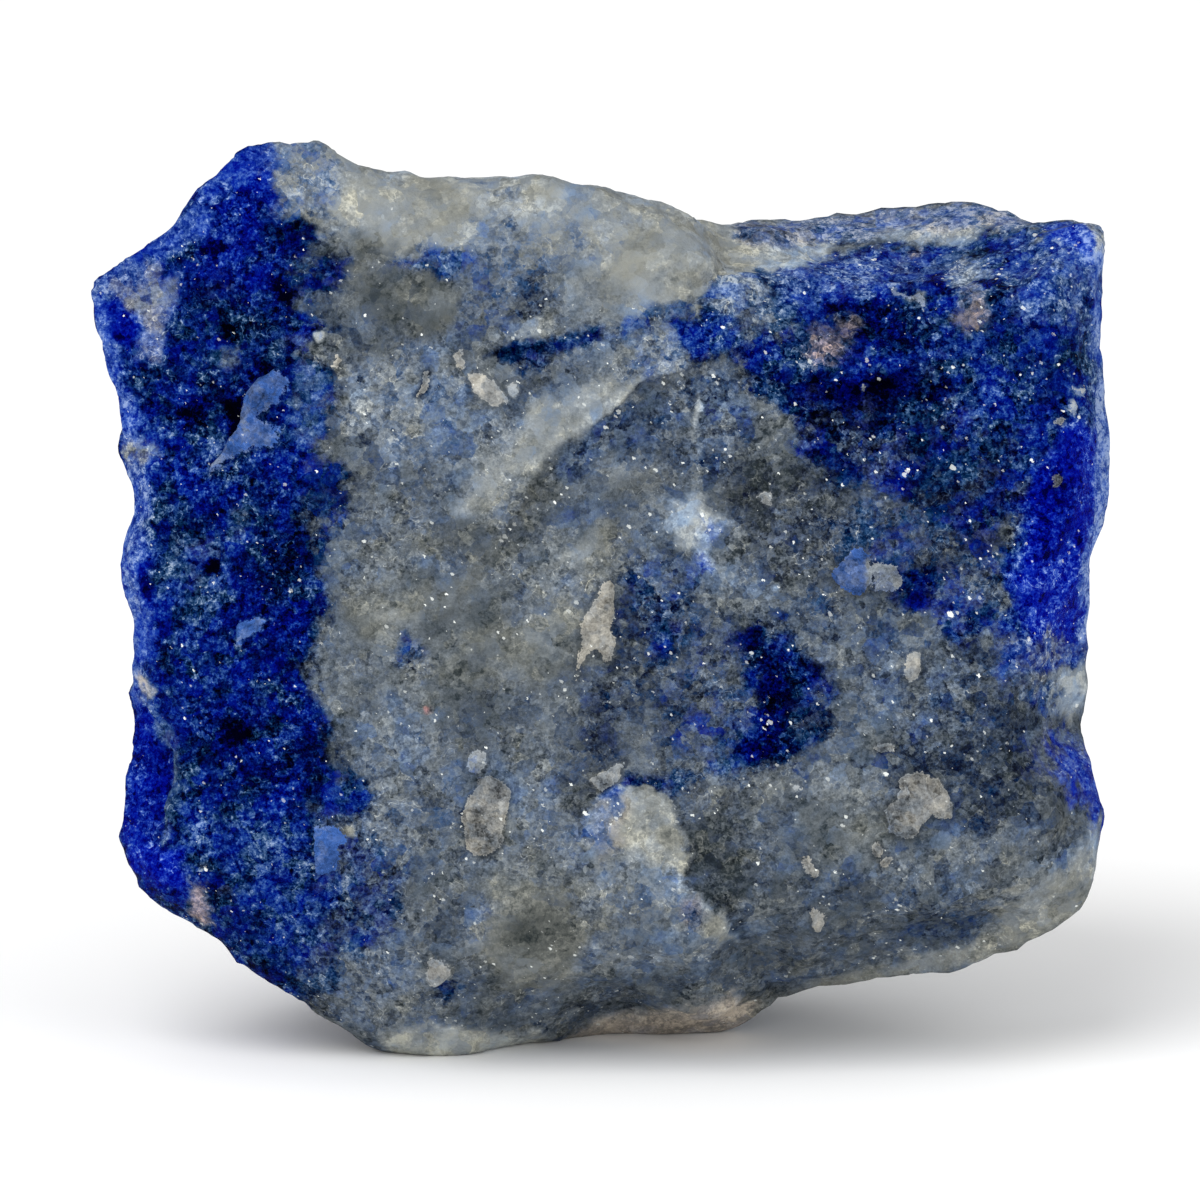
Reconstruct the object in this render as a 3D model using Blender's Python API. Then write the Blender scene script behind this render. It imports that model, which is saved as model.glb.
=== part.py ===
"""A rough chunk of sodalite, broken on every side, standing on a small flat spot.

The stone is drawn in the frame of its broad front face: a runs across to the right, b runs up the
face and c runs into the stone. The face then leans back by LEAN, and z = 0 cuts the flat spot.
Every length in the tables is in millimetres.
"""

import math

import bmesh
import bpy
import numpy as np
from mathutils import Vector, noise
from mathutils.geometry import delaunay_2d_cdt

MM = 0.001
LEAN = math.radians(10.0)

# The outline of the stone as seen square to its front face, clockwise from the top left peak.
# Each point is (a, b, c), where c is the depth at which the stone is widest there.
OUTLINE = [
    # Top rim of the pale front lobe.
    (-12.45, 34.85, 6.0), (-11.20, 34.55, 6.2), (-10.05, 34.07, 6.5), (-9.30, 33.57, 6.6),
    (-8.55, 33.32, 6.7), (-7.80, 33.17, 6.8), (-6.40, 33.02, 7.0), (-5.45, 33.07, 7.0),
    (-4.40, 33.02, 7.2), (-2.75, 32.97, 7.2), (-1.90, 33.02, 7.2), (-0.80, 32.72, 7.0),
    (0.35, 32.57, 6.8), (1.25, 32.27, 6.8), (2.25, 31.97, 6.6), (3.25, 31.72, 6.6),
    (3.80, 31.32, 7.5),
    # Back ridge of the flat top on the right.
    (4.20, 31.27, 11.0), (6.00, 31.52, 13.0), (7.20, 31.47, 13.6), (8.05, 31.57, 14.0),
    (8.85, 31.87, 14.2), (9.95, 31.87, 14.2), (12.05, 32.12, 14.4), (13.65, 32.32, 14.0),
    (14.25, 32.22, 13.6), (15.00, 31.92, 13.0), (15.70, 31.90, 12.4), (16.15, 31.55, 11.6),
    (17.30, 31.55, 10.4), (18.35, 31.45, 9.0),
    # Right side, down to the notch.
    (18.80, 31.20, 8.2), (18.85, 30.60, 7.8), (18.65, 29.55, 7.6), (18.70, 27.70, 7.6),
    (18.60, 26.75, 7.8), (18.80, 25.80, 8.0), (18.80, 25.05, 8.0), (18.95, 24.10, 7.8),
    (19.00, 21.50, 7.8), (18.80, 20.75, 8.0), (18.60, 20.10, 8.0), (18.20, 18.85, 8.2),
    (18.20, 17.80, 8.2), (18.05, 16.65, 8.4), (18.10, 15.60, 8.6), (18.00, 14.85, 8.6),
    (18.05, 14.25, 8.6), (17.80, 13.35, 8.8), (17.75, 12.45, 8.8),
    # Lower right corner.
    (18.35, 11.55, 8.4), (18.55, 10.55, 8.2), (18.65, 9.15, 8.0), (18.60, 8.10, 8.0),
    (18.50, 7.00, 8.0), (18.25, 6.40, 8.2), (18.05, 5.80, 8.4), (17.30, 5.30, 8.6),
    (16.65, 4.75, 8.8), (15.70, 4.45, 9.0), (14.75, 4.20, 9.2), (13.70, 3.70, 9.4),
    (12.65, 3.45, 9.6), (10.95, 3.20, 10.0), (9.20, 3.00, 10.4), (8.05, 2.80, 10.8),
    (6.95, 2.50, 11.2), (5.95, 2.15, 11.6), (5.20, 1.55, 12.2),
    # Underside, where the stone rests.
    (4.60, 0.95, 12.8), (3.85, 0.70, 13.2), (3.00, 0.60, 13.2), (2.25, 0.65, 13.2),
    (1.10, 0.75, 13.2), (0.15, 0.75, 13.0), (-0.80, 0.60, 12.6), (-1.20, 0.45, 12.0),
    (-1.65, 0.40, 11.4), (-2.50, 0.55, 11.0), (-3.00, 0.50, 10.6), (-3.95, 0.30, 9.8),
    (-5.10, -0.15, 8.6), (-6.05, -0.05, 8.4), (-6.70, 0.15, 8.6), (-7.45, 0.30, 8.8),
    (-8.00, 0.40, 8.8),
    # Lower left, up to the left corner.
    (-8.65, 0.70, 8.4), (-9.45, 1.38, 8.0), (-10.40, 2.03, 7.6), (-10.80, 2.38, 7.4),
    (-11.85, 2.83, 7.2), (-13.00, 3.58, 7.2), (-13.55, 4.03, 7.2), (-14.50, 4.88, 7.2),
    (-15.60, 5.55, 7.4), (-16.60, 6.30, 7.6), (-17.35, 7.05, 7.8), (-17.75, 7.80, 7.8),
    (-17.80, 9.05, 7.8), (-17.70, 10.55, 7.8), (-17.45, 12.75, 7.6), (-17.35, 13.65, 7.4),
    (-17.20, 14.20, 7.2),
    # Left side, up to the left shoulder.
    (-17.25, 15.55, 7.2), (-17.35, 16.75, 7.2), (-17.75, 17.45, 7.4), (-17.90, 18.80, 7.4),
    (-17.80, 19.65, 7.2), (-17.30, 20.55, 7.0), (-17.30, 21.55, 6.8), (-17.45, 22.20, 6.8),
    (-17.60, 23.25, 6.8), (-17.70, 24.25, 6.8), (-17.95, 24.90, 6.8), (-18.30, 25.65, 6.8),
    (-18.65, 26.90, 6.8), (-18.80, 28.15, 6.8), (-19.00, 28.95, 6.6),
    # Upper left bevel, up to the peak.
    (-18.60, 29.55, 6.4), (-17.90, 30.10, 6.2), (-16.90, 30.65, 6.0), (-16.00, 31.22, 6.0),
    (-15.00, 32.52, 6.0), (-14.10, 33.32, 6.0), (-13.50, 34.45, 6.0),
]

# The planes of the front, each as (a0, b0, c0, slope along a, slope along b). The front surface is
# the deepest of them at every point, so each plane is one broken facet.
FRONT_PLANES = [
    # Broad middle of the face.
    (0.0, 16.0, 1.2, 0.020, 0.010),
    # Left band, turned to the left.
    (-10.4, 18.0, 1.3, -0.620, -0.020),
    # Pale top zone, turned up.
    (-4.0, 27.2, 1.5, 0.030, 0.720),
    # Upper left bevel at the peak.
    (-14.6, 30.2, 4.2, -0.500, 0.420),
    # Right third, turned a little to the right.
    (11.0, 16.0, 1.7, 0.220, 0.030),
    # Right edge.
    (17.2, 16.0, 4.0, 1.500, 0.000),
    # Lower right corner.
    (15.0, 7.5, 2.9, 0.600, -0.500),
    # Lower edge, turned down.
    (8.0, 5.2, 2.6, 0.050, -1.200),
    (-4.0, 3.0, 2.2, 0.000, -1.300),
    (-13.0, 6.0, 4.4, -0.500, -0.700),
]

# Corners broken out of the front between two planes each: the shallower of the pair counts.
FRONT_NOTCHES = [
    # Flat top behind the front edge on the right, and the wall where the pale lobe ends.
    [(10.0, 30.75, 4.6, 0.050, 7.500), (3.7, 31.0, 5.5, 6.000, -1.500)],
    # Lower left facet behind the pale ridge.
    [(-15.9, 10.0, 5.0, -1.400, 0.050), (-16.0, 14.3, 4.6, -0.800, -1.600)],
]

# The planes of the back, in the same form. The back surface is the shallowest of them.
BACK_PLANES = [
    # Two broad facets that meet in an upright edge.
    (-3.0, 16.0, 23.8, -0.130, 0.060),
    (6.0, 16.0, 22.8, -0.480, 0.120),
    # Left flank.
    (-17.4, 16.0, 8.2, 1.900, 0.080),
    (-17.9, 27.0, 7.8, 1.500, -0.700),
    # Right flank.
    (18.7, 20.0, 8.8, -2.300, 0.150),
    (18.3, 8.0, 8.8, -1.500, 0.900),
    # Top, falling to the back.
    (-4.0, 33.1, 8.0, 0.080, -2.500),
    (9.0, 31.6, 14.8, -0.200, -2.400),
    # Underside, rising to the back and to both sides.
    (0.0, 3.6, 22.0, -0.100, 1.200),
    (-13.0, 3.4, 10.4, 1.200, 1.400),
    (12.0, 3.3, 12.6, -0.900, 2.200),
    # Underside in front, which the flat spot cuts.
    (-2.0, 0.0, 11.0, 0.000, 9.000),
]

# Scoops broken out of the front: (a, b, half width, half height, depth), and how they round off.
SCOOPS = [
    (11.2, 25.4, 6.4, 4.8, 1.30),
    (3.6, 21.0, 4.6, 5.4, 0.70),
    (-0.8, 28.6, 3.2, 1.6, 0.45),
    (-8.3, 28.9, 2.6, 2.0, 0.45),
    (-14.2, 19.5, 2.4, 6.0, 0.45),
    (8.5, 12.5, 3.6, 3.0, 0.40),
    (-16.4, 10.8, 1.2, 2.6, 0.35),
]
SCOOP_POWER = 0.75

# How fast the surface falls away from the outline, to the front and to the back, and how blunt the
# edge there is at least: the slope of its back and how far in from the outline that goes.
FRONT_RIM_SLOPE = 2.4
BACK_RIM_SLOPE = 3.0
LEAST_EDGE = (1.10, 1.50)

# Point spacing of the first rough shape, how far its grid strays and keeps from the rings, in grid
# steps, and the spacing of the even mesh that replaces it. The even mesh rounds the outline off, so
# the rough shape starts that much outside it.
RIM_STEP = 0.60
RIM_RINGS = (0.30, 0.75)
RING_SHARE = 0.80
GRID_STEP = 0.75
JITTER = 0.22
GRID_CLEAR = 0.5
EVEN_STEP = 0.34
ROUND_OFF = 0.13
TRIANGLES = 7600

# Seed of every random draw, so that the stone is the same each time.
SEED = 7

# Chipped relief: each chip is a shallow dish around its own centre, and neighbours meet in ridges.
CHIP_STEP = 4.6
CHIP_STRAY = 0.5
CHIP_CURVE = 0.050
CHIP_TILT = 0.16
CHIP_OFFSET = 0.50
FRONT_CHIP_SHARE = 0.40
GRAIN_SIZE = 1.6
GRAIN_HEIGHT = 0.18
RIM_CALM = 0.9
REST_CALM = 2.4

# How much is worn off the lowest part to make the flat spot, and off the decimated mesh again.
REST_WEAR = 0.72
REST_TOUCH = 0.02

STONE_BLUE = (0.055, 0.085, 0.24)
STONE_ROUGHNESS = 0.55

# Settings of the triangulation: keep only what is inside the outline, and join closer points.
KEEP_INSIDE = 1
CLOSE = 1e-6


def clear_scene():
    for old in list(bpy.data.objects):
        bpy.data.objects.remove(old, do_unlink=True)


def resampled(points, step):
    """The closed outline with extra points, so that no stretch is longer than step."""
    result = []
    for start, end in zip(points, np.roll(points, -1, axis=0)):
        count = max(1, math.ceil(np.linalg.norm(end[:2] - start[:2]) / step))
        for i in range(count):
            result.append(start + (end - start) * i / count)
    return np.array(result)


def nearest_on_outline(places, outline):
    """For each place, its distance from the outline and the outline's depth at the nearest point."""
    start = outline
    span = np.roll(outline, -1, axis=0) - outline
    best = np.full(len(places), np.inf)
    depth = np.zeros(len(places))
    for p, s in zip(start, span):
        along = np.clip(((places - p[:2]) @ s[:2]) / (s[:2] @ s[:2]), 0, 1)
        gap = np.linalg.norm(places - p[:2] - along[:, None] * s[:2], axis=1)
        closer = gap < best
        best[closer] = gap[closer]
        depth[closer] = (p[2] + along * s[2])[closer]
    return best, depth


def inside(places, outline):
    """True for each place inside the outline, by counting crossings."""
    result = np.zeros(len(places), bool)
    a, b = places.T
    for p, q in zip(outline[:, :2], np.roll(outline[:, :2], -1, axis=0)):
        crosses = (p[1] > b) != (q[1] > b)
        if p[1] != q[1]:
            at = p[0] + (b - p[1]) / (q[1] - p[1]) * (q[0] - p[0])
            result ^= crosses & (a < at)
    return result


def inset(outline, distance):
    """The outline's places, each moved in by a distance."""
    along = np.roll(outline, -1, axis=0)[:, :2] - np.roll(outline, 1, axis=0)[:, :2]
    inward = np.stack([along[:, 1], -along[:, 0]], axis=1)
    inward /= np.linalg.norm(inward, axis=1)[:, None]
    return outline[:, :2] + inward * distance


def rings(outline):
    """Points on rings just inside the outline, where the surface is steep."""
    result = []
    for distance in RIM_RINGS:
        ring = inset(outline, distance)
        gap, _ = nearest_on_outline(ring, outline)
        result.append(ring[inside(ring, outline) & (gap > RING_SHARE * distance)])
    return np.concatenate(result)


def interior(outline, rng):
    """A jittered triangular grid of points inside the outline."""
    low = outline[:, :2].min(0)
    high = outline[:, :2].max(0)
    rows = []
    for i, b in enumerate(np.arange(low[1], high[1], GRID_STEP * math.sqrt(3) / 2)):
        a = np.arange(low[0] + (i % 2) * GRID_STEP / 2, high[0], GRID_STEP)
        rows.append(np.stack([a, np.full(len(a), b)], axis=1))
    grid = np.concatenate(rows)
    grid += rng.uniform(-JITTER, JITTER, grid.shape) * GRID_STEP
    gap, _ = nearest_on_outline(grid, outline)
    return grid[inside(grid, outline) & (gap > RIM_RINGS[-1] + GRID_CLEAR * GRID_STEP)]


def plane_values(places, planes):
    a, b = places.T
    return np.array([c0 + ka * (a - a0) + kb * (b - b0) for a0, b0, c0, ka, kb in planes])


def front_depth(places, gap, rim):
    depth = plane_values(places, FRONT_PLANES).max(0)
    for notch in FRONT_NOTCHES:
        depth = np.maximum(depth, plane_values(places, notch).min(0))
    for a0, b0, ra, rb, scoop in SCOOPS:
        away = ((places[:, 0] - a0) / ra) ** 2 + ((places[:, 1] - b0) / rb) ** 2
        depth += scoop * np.clip(1 - away, 0, None) ** SCOOP_POWER
    return np.clip(depth, rim - FRONT_RIM_SLOPE * gap, rim)


def back_depth(places, gap, rim):
    depth = plane_values(places, BACK_PLANES).min(0)
    slope, reach = LEAST_EDGE
    return np.clip(depth, rim + slope * np.minimum(gap, reach), rim + BACK_RIM_SLOPE * gap)


def chips(points, rng):
    """Relief of shallow dishes that meet in ridges, for points in the stone's own frame."""
    low = points.min(0) - CHIP_STEP
    high = points.max(0) + CHIP_STEP
    axes = [np.arange(l, h, CHIP_STEP) for l, h in zip(low, high)]
    centres = np.stack(np.meshgrid(*axes, indexing="ij"), axis=-1).reshape(-1, 3)
    centres = centres + rng.uniform(-CHIP_STRAY, CHIP_STRAY, centres.shape) * CHIP_STEP
    tilts = rng.normal(0, CHIP_TILT, centres.shape)
    offsets = rng.uniform(0, CHIP_OFFSET, len(centres))
    height = np.full(len(points), np.inf)
    for centre, tilt, offset in zip(centres, tilts, offsets):
        to = points - centre
        height = np.minimum(height, offset + to @ tilt + CHIP_CURVE * (to * to).sum(1))
    return height - np.median(height)


def to_world(points):
    """From the face's frame in millimetres to the world in metres, leaning back."""
    a, b, c = points.T
    y = c * math.cos(LEAN) + b * math.sin(LEAN)
    z = b * math.cos(LEAN) - c * math.sin(LEAN)
    return np.stack([a, y, z], axis=1) * MM


def to_face(points):
    """From the world in metres to the face's frame in millimetres."""
    x, y, z = points.T / MM
    b = z * math.cos(LEAN) + y * math.sin(LEAN)
    c = y * math.cos(LEAN) - z * math.sin(LEAN)
    return np.stack([x, b, c], axis=1)


def rough_shape(outline, rng):
    """The front and the back surface, joined along the outline."""
    count = len(outline)
    places = np.concatenate([outline[:, :2], rings(outline), interior(outline, rng)])
    edges = [(i, (i + 1) % count) for i in range(count)]
    flat, _, faces, _, _, _ = delaunay_2d_cdt([Vector(p) for p in places], edges, [], KEEP_INSIDE, CLOSE)
    flat = np.array([tuple(p) for p in flat])
    gap, rim = nearest_on_outline(flat, outline)
    gap[:count] = 0
    rim[:count] = outline[:, 2]
    front = to_world(np.column_stack([flat, front_depth(flat, gap, rim)]))
    back = to_world(np.column_stack([flat, back_depth(flat, gap, rim)]))
    bm = bmesh.new()
    front_verts = [bm.verts.new(p) for p in front]
    back_verts = front_verts[:count] + [bm.verts.new(p) for p in back[count:]]
    for face in faces:
        bm.faces.new([front_verts[i] for i in face])
        bm.faces.new([back_verts[i] for i in reversed(face)])
    return bm


def replace_mesh(stone, bm):
    bm.to_mesh(stone.data)
    bm.free()


def applied(stone, kind, **settings):
    """A bmesh of the stone with one modifier applied."""
    modifier = stone.modifiers.new(kind.title(), kind)
    for name, value in settings.items():
        setattr(modifier, name, value)
    graph = bpy.context.evaluated_depsgraph_get()
    bm = bmesh.new()
    bm.from_object(stone, graph)
    stone.modifiers.remove(modifier)
    return bm


def roughen(bm, outline, rng):
    """Moves each point along its normal by the chips and the grain, less near the outline."""
    bm.normal_update()
    points = np.array([v.co for v in bm.verts])
    normals = np.array([v.normal for v in bm.verts])
    gap, _ = nearest_on_outline(to_face(points)[:, :2], outline)
    facing = np.clip(-normals[:, 1], 0, 1)
    share = 1 - (1 - FRONT_CHIP_SHARE) * facing
    relief = chips(points / MM, rng) * share
    relief += [GRAIN_HEIGHT * noise.noise(v.co / (GRAIN_SIZE * MM)) for v in bm.verts]
    relief *= np.clip(gap / RIM_CALM, 0, 1)
    relief *= np.clip((points[:, 2] - points[:, 2].min()) / (REST_CALM * MM), 0, 1)
    for v, normal, height in zip(bm.verts, normals, relief):
        v.co += Vector(normal) * height * MM


def flatten_rest(bm, reach):
    """Presses everything lower than reach above the lowest point level, as the flat spot."""
    level = min(v.co.z for v in bm.verts) + reach * MM
    for v in bm.verts:
        v.co.z = max(v.co.z, level)


def set_down(bm):
    """Puts the origin under the middle of the stone's box, on the flat spot."""
    low = Vector(min(v.co[i] for v in bm.verts) for i in range(3))
    high = Vector(max(v.co[i] for v in bm.verts) for i in range(3))
    middle = (low + high) / 2
    bmesh.ops.translate(bm, verts=bm.verts, vec=(-middle.x, -middle.y, -low.z))


def stone_material():
    material = bpy.data.materials.new("sodalite_rough")
    material.use_nodes = True
    shader = material.node_tree.nodes["Principled BSDF"]
    shader.inputs["Base Color"].default_value = (*STONE_BLUE, 1)
    shader.inputs["Roughness"].default_value = STONE_ROUGHNESS
    shader.inputs["Metallic"].default_value = 0.0
    return material


def sodalite():
    rng = np.random.default_rng(SEED)
    outline = np.array(OUTLINE)
    outline[:, :2] = inset(outline, -ROUND_OFF)
    outline = resampled(outline, RIM_STEP)
    mesh = bpy.data.meshes.new("sodalite")
    mesh.materials.append(stone_material())
    stone = bpy.data.objects.new("sodalite", mesh)
    bpy.context.scene.collection.objects.link(stone)
    replace_mesh(stone, rough_shape(outline, rng))
    bm = applied(stone, "REMESH", mode="VOXEL", voxel_size=EVEN_STEP * MM)
    bmesh.ops.triangulate(bm, faces=bm.faces)
    roughen(bm, outline, rng)
    flatten_rest(bm, REST_WEAR)
    share = TRIANGLES / len(bm.faces)
    replace_mesh(stone, bm)
    bm = applied(stone, "DECIMATE", ratio=share)
    flatten_rest(bm, REST_TOUCH)
    set_down(bm)
    replace_mesh(stone, bm)
    return stone


clear_scene()
sodalite()
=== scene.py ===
"""Looks of the rough sodalite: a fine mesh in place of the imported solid, its material, and a plain studio.

Sizes are in millimetres unless a name says otherwise. Outlines on the broad face are in the photograph's
pixels, right and down in its frame of 1200 x 1200, and PIXEL turns them into millimetres on the face.
"""

import math
from collections import namedtuple

import bpy
import numpy as np
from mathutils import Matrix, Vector


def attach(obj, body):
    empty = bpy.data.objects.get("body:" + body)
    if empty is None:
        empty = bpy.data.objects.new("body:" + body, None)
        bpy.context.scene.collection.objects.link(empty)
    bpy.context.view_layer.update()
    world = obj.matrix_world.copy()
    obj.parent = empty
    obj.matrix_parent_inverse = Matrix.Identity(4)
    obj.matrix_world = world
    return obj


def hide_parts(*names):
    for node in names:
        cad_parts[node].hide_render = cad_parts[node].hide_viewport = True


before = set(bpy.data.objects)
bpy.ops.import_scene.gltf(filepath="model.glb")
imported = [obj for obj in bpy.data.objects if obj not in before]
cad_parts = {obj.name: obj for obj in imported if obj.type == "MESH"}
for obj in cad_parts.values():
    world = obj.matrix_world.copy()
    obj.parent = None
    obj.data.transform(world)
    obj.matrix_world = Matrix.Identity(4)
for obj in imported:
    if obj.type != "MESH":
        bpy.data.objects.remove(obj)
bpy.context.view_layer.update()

MM = 0.001
SEED = 11

# The camera looks a little down, and the face leans back by the same angle.
LEAN = math.radians(10.0)
PIXEL = 38.0 / 1018.0
PHOTO_SIDE = 1200
CAMERA_AWAY = 1000.0
SENSOR = 36.0
# How far the camera sees, in metres.
SIGHT = 20.0
# The point of the stone that the photograph's middle shows.
AIM = (0.0, -6.0, 16.95)

# Longest edges of the mesh: when it is first smoothed, then on the broad face, elsewhere, and within
# RIM_NEAR of the rims of flakes and steps. The broad face's edges grow longer down to FACE_DEPTH.
COARSE_EDGE = 0.9
FACE_EDGE = 0.285
OTHER_EDGE = 0.58
RIM_EDGE = 0.15
RIM_NEAR = 0.25
FACE_DEPTH = 4.0
# A triangle beside a cut also has its longest edge cut, where that is over this share of what is wanted.
CUT_TOO = 0.7

# How squarely a point looks out of the broad face, where marks start and where they are in full.
FRONT_FACING = (-0.25, 0.05)
# Up to this height over the floor the relief fades out, so that the flat spot stays flat.
CALM_FOOT = 0.8
# How far a point may stand from the mean of its neighbours.
LONGEST_SPIKE = 0.10

# Chips of the broken stone: their size, their depth on the broad face, and how much deeper elsewhere.
CHIPS = [(3.2, 0.16, 0.26), (1.3, 0.22, 0.14), (0.55, 0.22, 0.0)]
# A chip is a dish around its centre. It has a random tilt and height, and is steep from DISH_REACH outward.
DISH_CURVE = 0.3
DISH_TILT = 0.25
DISH_LIFT = 0.15
DISH_REACH = 0.75
DISH_STEEP = 3.0
# Fine unevenness on top of the chips.
CRUMB_SIZE = 0.45
CRUMB_DEPTH = 0.028

# How outlines stray, for a raggedness of 1: the size of the noise, its seed and its share.
STRAYS = [(1.1, SEED + 20, 0.7), (0.4, SEED + 24, 0.5)]
RIM_RAGGED = 0.10
# Half the width of a step's slope, how much lower its low side is, and how far from its ends it fades.
STEP_SOFT = 0.09
STEP_LOW = 0.4
STEP_FADE = 1.2
# How far inside its outline each of these starts, and where it is in full.
HOLLOW_EDGE = (-0.15, 0.45)
FLAKE_EDGE = (-0.05, 0.07)
FLAKE_TONE_EDGE = (-0.12, 0.0)
FLAKE_TINT_EDGE = (-0.35, -0.2)
# How far outside an outline distances are measured: for marks, from the far side of their soft edge.
MARK_MARGIN = 0.1
HOLLOW_REACH = 0.5
FLAKE_REACH = 0.6
RIM_REACH = 1.0

# Zones drift sideways by up to this much for each millimetre behind the face, in lumps of DRIFT_SIZE.
DRIFT = 0.35
DRIFT_SIZE = 9.0
# Wide mottling: its size, and for each field how strong it is on the broad face and how much more elsewhere.
MOTTLE_SIZE = 5.0
MOTTLE = {"blue": (0.0, 0.45), "tone": (0.10, 0.25), "warm": (0.25, 0.0)}

# How deep behind the face the textures take a place to be, for how deep it is.
DEPTHS = (-4.0, 0.0, 5.0, 8.0, 30.0)
GRAIN_DEPTHS = (-2.0, 0.0, 2.5, 4.8, 26.8)

# Factors that stir the bits of a cell's numbers into random ones.
AXIS_FACTORS = (374761393, 668265263, 2147483647)
SEED_FACTOR = 1013904223
SALTS = (2654435769, 2246822519, 3266489917)
LAST_FACTOR = 1274126177
# How far each layer of noise is moved, so that it doesn't line up with the one before.
LAYER_SHIFT = 17.3

# Colours from dark to light: a position from 0 to 1, then red, green and blue as seen on screen.
GREY_STONE = [(0.0, 6, 10, 15), (0.25, 40, 48, 54), (0.5, 90, 97, 103), (0.75, 128, 135, 140),
              (1.0, 182, 188, 188)]
BLUE_STONE = [(0.0, 0, 0, 16), (0.22, 0, 2, 74), (0.42, 0, 12, 110), (0.6, 14, 50, 130),
              (0.8, 60, 91, 154), (1.0, 114, 138, 186)]
TEAL_STONE = [(0.0, 0, 0, 4), (0.22, 0, 4, 34), (0.42, 3, 32, 65), (0.6, 34, 62, 97),
              (0.8, 76, 99, 131), (1.0, 132, 148, 170)]
# Painted glow: blue as where light shines through thin edges.
GLOWING_STONE = [(0.0, 0, 0, 60), (0.3, 0, 4, 134), (0.55, 8, 34, 160), (0.8, 58, 90, 188),
                 (1.0, 134, 156, 218)]
# Flakes go from blue to tan instead.
FLAKE_STONE = [(0.0, 52, 86, 150), (0.5, 122, 130, 138), (1.0, 154, 151, 142)]
# The colour of the painted glints.
GLINT_COLOUR = (228, 232, 228)
# What a colour is multiplied by: where grey is warm or cool, where it is pink, and on dark and light flakes.
WARM = (1.10, 1.0, 0.82, 1.0)
COOL = (0.80, 0.97, 1.25, 1.0)
PINK = (1.75, 0.92, 0.86, 1.0)
FLAKE_SHADES = (0.12, 1.4)
# Colour of the painted shadow line around flakes.
BLACK = (0.0, 0.0, 0.0, 1.0)

# Patches and crystal grains to a millimetre.
PATCHES = 1.6
GRAINS = 4.2
# Painted glints to a millimetre, their size, and how rare the bright ones are.
SMALL_GLINTS = (5.0, 0.055, 3.2)
LARGE_GLINTS = (1.6, 0.085, 6.0)
# The finest relief, finer than the mesh.
BUMP_HEIGHT = 0.10 * MM
# The stone has next to no shine, and its glints are painted highlights, bright by their colour.
SPECULAR = 0.005

# Round lamps: place and width in metres, and power in watts.
LAMPS = {
    "key": ((-0.4, -0.6, 0.9), 0.9, 8.0),
    "fill": ((0.6, -0.8, 0.4), 0.8, 2.5),
    "low": ((0.0, -0.9, 0.05), 0.8, 3.0),
}
# Strength of the white light from all around.
SKY = 0.75
# The floor is a disc, with its radius in metres.
FLOOR_RADIUS = 6.0
FLOOR_SIDES = 96
FLOOR_COLOUR = (0.93, 0.93, 0.93, 1)
FLOOR_ROUGHNESS = 0.9

# What each point of the surface carries for the material, and its value where nothing is marked:
# share of blue, lightness, tan, pink, painted glow of light through thin edges, milkiness, painted glints,
# flake (distance inside, in mm) and flake colour from blue to tan.
FIELDS = {
    "blue": 0.22, "tone": 0.0, "warm": 0.25, "pink": 0.0, "vivid": 0.0, "frost": 0.15,
    "glint": 0.4, "flake": -1.0, "tint": 0.0,
}

# A place on the face: its outline, the width of its soft edge, how far its edge strays, and its field values.
Mark = namedtuple("Mark", "outline soft ragged values")


def mark(outline, soft=0.5, ragged=0.35, **values):
    return Mark(outline, soft, ragged, values)


def oval(x, y, wide, high, turn=0.0, sides=14):
    """An ellipse as an outline, turned clockwise by degrees."""
    angle = np.arange(sides) * 2 * math.pi / sides
    lean = math.radians(turn)
    across, down = wide / 2 * np.cos(angle), high / 2 * np.sin(angle)
    return np.stack([x + across * math.cos(lean) - down * math.sin(lean),
                     y + across * math.sin(lean) + down * math.cos(lean)], axis=1)


# Zones run through the whole stone, in the order in which they are painted.
ZONES = {
    "grey top": mark([(262, 60), (790, 60), (790, 245), (755, 285), (700, 306), (650, 322), (600, 330),
        (585, 300), (545, 262), (480, 250), (415, 262), (345, 245), (300, 240), (262, 200)], 1.2, 0.7,
        tone=0.5, frost=0.8, warm=0.35, blue=0.16, glint=0.1),
    "left band": mark([(-400, -100), (262, 60), (266, 150), (277, 187), (272, 207), (297, 230),
        (313, 240), (300, 258), (298, 275), (313, 312), (325, 322), (305, 337), (300, 360), (325, 375),
        (330, 430), (318, 450), (325, 490), (316, 530), (310, 545), (322, 570), (325, 593), (318, 613),
        (320, 639), (306, 656), (307, 674), (328, 700), (320, 743), (330, 761), (386, 800), (372, 822),
        (361, 859), (381, 884), (391, 915), (358, 938), (355, 961), (315, 985), (300, 1010), (250, 1300),
        (-400, 1300)], 1.1, 0.6, blue=1.0, tone=-0.16, warm=0.0, frost=0.0, glint=0.35),
    "right blue": mark([(735, 285), (765, 262), (850, 248), (960, 245), (1060, 235), (1500, 150),
        (1500, 640), (1090, 640), (1021, 637), (990, 637), (1003, 598), (1013, 552), (1018, 522),
        (990, 496), (975, 462), (930, 450), (880, 440), (830, 425), (790, 427), (762, 400), (748, 372),
        (720, 345), (690, 364), (676, 340), (690, 312)], 0.5, 0.5, blue=0.97, tone=-0.05, warm=0.0,
        frost=0.0, glint=0.5),
    "lower right blue": mark([(1036, 756), (1046, 738), (1069, 723), (1079, 733), (1500, 700),
        (1500, 820), (1092, 822), (1078, 806), (1066, 787), (1060, 768), (1048, 756)], 1.1, 0.7,
        blue=0.84, vivid=0.6, tone=0.34, frost=0.3),
}

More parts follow.
